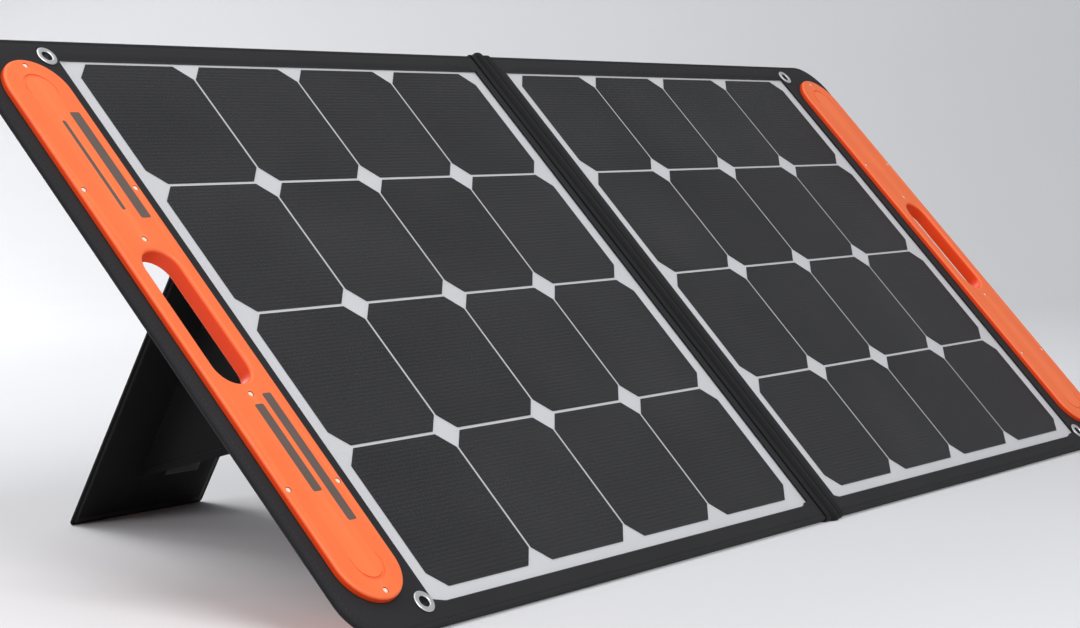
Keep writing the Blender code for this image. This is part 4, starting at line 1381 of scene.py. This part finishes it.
BINDING_AT = 4 * MM
BINDING_HALF = 4.8 * MM
BINDING_SEAM = 6.5 * MM
shares = [k / 30 for k in range(31)]
turns = [math.pi * k / 5 for k in range(10)]
for label, seed in (("left", 4.2), ("right", 9.2)):
    mesh = skin(shares, [k / 24 for k in range(25)], lambda u, v: web_point(u, v, seed))
    web = piece(f"{label}_web", thicken(mesh, FABRIC), "cloth web", f"{label}_panel",
                [f"{label}_stand_web"], HALF[label])
    rings = [[inside_web(BINDING_AT + BINDING_HALF * math.sin(a), v, seed)
              + ACROSS * MM * math.cos(a) for a in turns] for v in shares]
    binding = piece(f"{label}_web_binding", loft(rings, caps=True), "cloth web",
                    f"{label}_panel", matrix=HALF[label])
    stitches = bmesh.new()
    for side in (-1, 1):
        row = [inside_web(BINDING_SEAM, v, seed) + ACROSS * side * MM for v in shares]
        sew(row, (side, 0, 0), mesh=stitches)
    thread = piece(f"{label}_web_stitches", stitches, "thread", f"{label}_panel",
                   matrix=HALF[label])
    for thing in (web, binding, thread):
        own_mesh(thing)
    wide, long = (far_leg - far_panel).length, (far_leg - neck_leg).length
    halves = [(corner - neck_panel).cross(far_leg - neck_panel) for corner in (far_panel, neck_leg)]
    area = sum(half.length / 2 for half in halves)
print("webs", round(wide, 3), "by", round(long, 3), "m at their widest")

# %% [markdown]
# ## Hook and loop patches
#
# A square of hook tape on each leg meets a square of loop tape on the panel, which holds
# the leg shut for carrying. Each is a sewn patch with a raised mat of pile. The mat's
# lumps are real, so that it doesn't look like a painted square.


# %% Patches
LUMP = 0.3
PILE_GRID = 0.9 * MM


def pile_patch(cx, cy, wide, tall, low, high, seed):
    """A patch whose pile stands from low towards high."""
    thick = high - low
    us = ruled(cx - wide / 2, cx + wide / 2, PILE_GRID)
    vs = ruled(cy - tall / 2, cy + tall / 2, PILE_GRID)

    def place(x, y):
        edge = min(wide / 2 - abs(x - cx), tall / 2 - abs(y - cy))
        full = min(1.0, 0.35 + edge / (2.5 * MM))
        fuzz = LUMP * abs(thick) * ripple(x, y, 1.1 * MM, seed)
        return x, y, low + thick * full * 0.8 + fuzz * full

    return thicken(skin(us, vs, place), thick * 0.45)


for label in HALF:
    for kind, body, matrix, cloth_kind, near in (
        ("loop", "panel", PANEL, "loops", 1), ("hook", "stand", LEG, "hooks", 0),
    ):
        (x0, x1), (y0, y1), z = flat_box(f"right_{kind}_patch", matrix)
        cx, cy = (x0 + x1) / 2, (y0 + y1) / 2
        mesh = pile_patch(cx, cy, x1 - x0, y1 - y0, z[near], z[1 - near], 6.0 + near)
        frame_of = HALF[label] if kind == "loop" else LEG_OF[label]
        piece(f"{label}_{kind}_tape", mesh, cloth_kind, f"{label}_{body}",
              [f"{label}_{kind}_patch"], frame_of, sharp=80)
        rows = outline(cx, cy, x1 - x0, y1 - y0, 3 * MM, -1.2 * MM, arc=4, run=8)
        row = [(x, y, sum(z) / 2) for x, y in rows]
        up = (0, 0, 1 if near == 0 else -1)
        piece(f"{label}_{kind}_stitches", sew(row, up, closed=True, stitch=2.4 * MM), "thread",
              f"{label}_{body}", matrix=frame_of)
print("patches on panel and legs")

# %% [markdown]
# ## The cable pouch
#
# On the right half's back, a box-shaped cloth pouch holds the output box and its lead.
# It is sewn on by a flange. Real pouches slump: their sides pull in between the corners
# and the face swells under the zip. It could be a cloth simulation, but the box inside
# holds it nearly still, so the same slump is drawn into its rings, which stay even.

# %% Sew the pouch
pouch_x, pouch_y, pouch_z = flat_box("cable_pouch")
FLANGE = 8 * MM
POUCH = (sum(pouch_x) / 2, sum(pouch_y) / 2)
POUCH_WIDE = pouch_x[1] - pouch_x[0] - 2 * FLANGE
POUCH_TALL = pouch_y[1] - pouch_y[0] - 2 * FLANGE
POUCH_ROUND = 12 * MM
zip_x, zip_y, zip_z = flat_box("zip_chain")
ZIP_Y = sum(zip_y) / 2
SHOULDER = 6 * MM
SAG = 8 * MM
ZIP_SLOT = (136 * MM, 6 * MM)


def pouch_path(grow):
    """The pouch's outline."""
    return outline(*POUCH, POUCH_WIDE, POUCH_TALL, POUCH_ROUND, grow, arc=8, run=16)


def pouch_ring(grow, z):
    """One ring of the pouch, slumped inwards between its corners."""
    ring = []
    for x, y in pouch_path(grow):
        u, v = (x - POUCH[0]) / (POUCH_WIDE / 2), (y - POUCH[1]) / (POUCH_TALL / 2)
        height = (pouch_z[1] - z) / (pouch_z[1] - pouch_z[0])
        slump = 2.2 * MM * math.sin(math.pi * min(1.0, height)) if grow <= 0 else 0.0
        pull = 1.0 - min(abs(u), abs(v)) ** 2
        x -= slump * pull * u * (abs(u) > abs(v))
        y -= slump * pull * v * (abs(v) >= abs(u))
        wrinkle = 0.5 * MM * ripple(x, y + z, 22 * MM, 12.0) * min(1.0, height * 2) * (grow <= 0)
        ring.append((x + wrinkle * u, y + wrinkle * v, z))
    return ring


def pouch_face(x, y):
    """The face's height: flat along the zip, swollen over the box below it."""
    u = (x - POUCH[0]) / (POUCH_WIDE / 2)
    v = (y - POUCH[1] + SAG) / (POUCH_TALL / 2 - SAG)
    bulge = 2.4 * MM * max(0.0, 1 - u * u) * max(0.0, 1 - v * v)
    calm = min(1.0, abs(y - ZIP_Y) / (14 * MM))
    return pouch_z[0] - calm * (bulge + 0.5 * MM * ripple(x, y, 26 * MM, 13.0))


def make_pouch():
    """Flange, walls, shoulder and face, with the zip's slot cut in the face."""
    base, face = pouch_z[1], pouch_z[0]
    rings = [pouch_ring(FLANGE, base - 0.4 * MM), pouch_ring(FLANGE * 0.6, base - FABRIC),
             pouch_ring(1.2 * MM, base - FABRIC), pouch_ring(0.2 * MM, base - 1.4 * MM)]
    wall = base - face - SHOULDER - 3 * MM
    rings += [pouch_ring(0, base - 3 * MM - wall * k / 4) for k in range(5)]
    rings += [pouch_ring(-up, face + SHOULDER - out) for out, up in quarter(SHOULDER, 5)[1:]]
    cx, cy = POUCH
    for k in range(1, 7):
        share = 1 - k / 6 * 0.985
        ring = [(cx + (x - cx) * share, cy + (y - cy) * share) for x, y in pouch_path(-SHOULDER)]
        rings.append([(x, y, pouch_face(x, y)) for x, y in ring])
    mesh = loft(rings)
    edges = [e for e in mesh.edges if e.is_boundary and (
        e.verts[0].co.xy - Vector(POUCH)).length < 5 * MM]
    bmesh.ops.edgeloop_fill(mesh, edges=edges)
    bmesh.ops.recalc_face_normals(mesh, faces=mesh.faces)
    mesh.normal_update()
    centre = min(mesh.faces, key=lambda f: f.calc_center_median().z)
    thicken(mesh, FABRIC if centre.normal.z < 0 else -FABRIC)

    def slot(grow):
        return outline(cx, ZIP_Y, *ZIP_SLOT, 2.9 * MM, grow, arc=6)

    tool = carried(slot, ((0, face - 5 * MM), (0, face + 4 * MM)), hoop=False, caps=True)
    return carve(mesh, tool)


pouch = piece("pouch_cloth", make_pouch(), "cloth", "right_panel", ["cable_pouch"])
PIPING = 1.1 * MM
turns = [2 * math.pi * k / 10 for k in range(10)]
piping_z = pouch_z[0] + SHOULDER * 0.55
section = [(PIPING * math.cos(a) - 0.9 * MM, piping_z + PIPING * math.sin(a)) for a in turns]
piping = piece("pouch_piping", carried(pouch_path, section), "cloth web", "right_panel")
stitches = bmesh.new()
for grow in (FLANGE - 2.2 * MM, FLANGE - 5 * MM):
    path = [(x, y, pouch_z[1] - FABRIC) for x, y in pouch_path(grow)]
    sew(path, (0, 0, -1), closed=True, mesh=stitches)
for offset in (-5 * MM, 5 * MM):
    ends = (pouch_x[0] + FLANGE + 14 * MM, pouch_x[1] - FLANGE - 14 * MM)
    sew([(x, ZIP_Y + offset, pouch_z[0]) for x in ends], (0, 0, -1), mesh=stitches)
thread = piece("pouch_stitches", stitches, "thread", "right_panel")
depth = pouch_z[1] - pouch_z[0]
cut_wide, cut_tall = (size + 2 * (FLANGE + depth) for size in (POUCH_WIDE, POUCH_TALL))
area = (POUCH_WIDE + 2 * FLANGE) * (POUCH_TALL + 2 * FLANGE)
area += 2 * depth * (POUCH_WIDE + POUCH_TALL)
print("pouch", round(POUCH_WIDE * 1000), "by", round(POUCH_TALL * 1000), "mm")

# %% [markdown]
# ## The zip
#
# A coil zip is two rows of small loops sewn on tapes, each loop lying across the line and
# locked between two of the other row. Short grains of thread laid across, one side and
# then the other, are those loops. The slider and its pull are the working model's own
# parts, which already have the right shape and joints. The tapes lie between the slider's
# two plates and leave room for its post, so that it can travel over them.

# %% Coil and tapes
LOOP_PITCH = 1.3 * MM
LOOP_REACH = (2.2 * MM, -0.7 * MM)
POST_ROOM = 1.75 * MM
TAPE_SUNK = 0.72 * MM
coil = bmesh.new()
count = int((zip_x[1] - zip_x[0]) / LOOP_PITCH)
for number in range(count):
    x = zip_x[0] + LOOP_PITCH * (number + 0.5)
    side = 1 if number % 2 else -1
    row = [(x, ZIP_Y + side * reach, zip_z[0] + 0.25 * MM) for reach in LOOP_REACH]
    sew(row, (0, 0, -1), mesh=coil, stitch=2.85 * MM, gap=0.04 * MM, width=1.15 * MM)
piece("zip_coil", coil, "coil", "right_panel")
tapes = bmesh.new()
for side in (-1, 1):
    half_tape = zip_y[1] - ZIP_Y
    middle = ZIP_Y + side * (half_tape + POST_ROOM) / 2
    middle_z = zip_z[1] - TAPE_SUNK - FABRIC / 2
    section = outline(middle, middle_z, half_tape - POST_ROOM, FABRIC, 0.25 * MM, arc=3, run=6)
    rings = [[(x, y, z + 0.08 * MM * math.sin(x / LOOP_PITCH)) for y, z in section]
             for x in ruled(*zip_x, 2.4 * MM)]
    loft(rings, caps=True, mesh=tapes)
piece("zip_tapes", tapes, "cloth", "right_panel", ["zip_chain"])
print(count, "loops in the coil")

# %% [markdown]
# ## Softening the machined parts
#
# Parts kept from the working model have knife edges, which no real part has. Modifiers
# are the kind way to change them: a weld joins the split corners of the imported mesh,
# and a small bevel gives each edge a line of light. The model itself stays untouched.

# %% Bevel the kept parts
SOFT_EDGES = {
    "zip_slider": 0.25 * MM, "zip_pull": 0.3 * MM, "output_box_lid": 0.4 * MM,
    "output_box_base": 0.3 * MM, "usb_a_socket": 0.12 * MM, "usb_c_socket": 0.12 * MM,
    "left_handle_core": 0.25 * MM, "right_handle_core": 0.25 * MM,
}
for node, width in SOFT_EDGES.items():
    part = frame["nodes"][node]
    part.modifiers.new("weld", "WELD").merge_threshold = 0.01 * MM
    bevel = part.modifiers.new("bevel", "BEVEL")
    bevel.width, bevel.segments, bevel.limit_method = width, 2, "ANGLE"
    bevel.angle_limit = math.radians(40)
print(len(SOFT_EDGES), "parts bevelled")

# %% [markdown]
# ## Floor, camera and light
#
# The floor is plain and pale and turns up far behind, so no horizon shows. A large soft
# light stands front left and high, which is where the orange mouldings catch it. A wide
# faint one hangs overhead, a small one brightens the left side, and one stands behind so
# that the legs and the pouch can be seen. The lit face mirrors the upper right to the
# camera, and nothing strong stands there: dark cells stay dark.


# %% Studio
def studio_floor():
    """A floor that curves up behind the panel, square to the camera."""
    swatch = Swatch("pale floor", roughness=0.75, specular=0.2)
    spot = swatch.place()
    cloud = swatch.grain(spot, 0.7, 3.0)
    speck = swatch.grain(spot, 3 * MM, 2.0)
    swatch.wear(
        Base_Color=swatch.mix(cloud * 0.7 + speck * 0.3, (0.66, 0.66, 0.67), (0.74, 0.74, 0.75)),
        Roughness=0.65 + speck * 0.2,
        Normal=swatch.relief(speck, 0.1 * MM, 0.3),
    )
    far, bend, top = 3.4, 1.2, 1.5
    profile = [(-9.0, 0.0), (-4.0, 0.0), (far - bend, 0.0)]
    turns = [math.pi / 2 * k / 16 for k in range(1, 17)]
    profile += [(far - bend + bend * math.sin(a), bend * (1 - math.cos(a))) for a in turns]
    profile += [(far, top)]
    mesh = bmesh.new()
    rows = [[mesh.verts.new((across, along, up)) for across in (-10.0, -4.0, 4.0, 10.0)]
            for along, up in profile]
    for a, b in zip(rows, rows[1:]):
        for k in range(3):
            mesh.faces.new((a[k], a[k + 1], b[k + 1], b[k]))
    mesh.transform(Matrix.Rotation(-HEADING, 4, "Z"))
    floor = in_scene("studio_floor", mesh)
    floor.data.materials.append(swatch.material)
    floor.data.shade_smooth()


def soft_light(name, place, aim, size, power):
    """A round soft light, size metres across and power watts."""
    data = bpy.data.lights.new(name, "AREA")
    data.shape, data.size, data.energy = "DISK", size, power
    light = bpy.data.objects.new(name, data)
    light.location = place
    light.rotation_euler = (Vector(aim) - Vector(place)).to_track_quat("-Z", "Y").to_euler()
    bpy.context.scene.collection.objects.link(light)


HEADING = math.radians(55.1)
PITCH_DOWN = math.radians(4.49)
STAND_AT = Vector((-1.798, -0.957, 0.3266))
camera = bpy.data.objects.new("camera", bpy.data.cameras.new("camera"))
camera.data.lens = 82.2
camera.data.clip_end = 50
camera.location = ORIGIN + STAND_AT
camera.rotation_euler = (math.pi / 2 - PITCH_DOWN, 0, -HEADING)
bpy.context.scene.collection.objects.link(camera)
bpy.context.scene.camera = camera

studio_floor()
soft_light("key", (-1.3, -2.3, 2.3), (0, 0, 0.2), 1.8, 68)
soft_light("overhead", (-0.2, 0.5, 3.6), (0, 0.2, 0), 3.0, 40)
soft_light("side", (-2.6, 0.4, 1.4), (0, 0, 0.2), 1.2, 16)
soft_light("back", (0.4, 3.0, 1.5), (0, 0.1, 0.2), 1.8, 60)
world = bpy.data.worlds.new("studio")
world.use_nodes = True
sky = world.node_tree.nodes["Background"].inputs
sky["Color"].default_value = (0.9, 0.92, 1.0, 1)
sky["Strength"].default_value = 0.33
bpy.context.scene.world = world
bpy.context.scene.view_settings.view_transform = "Standard"
print("camera at", tuple(round(v, 3) for v in camera.location))
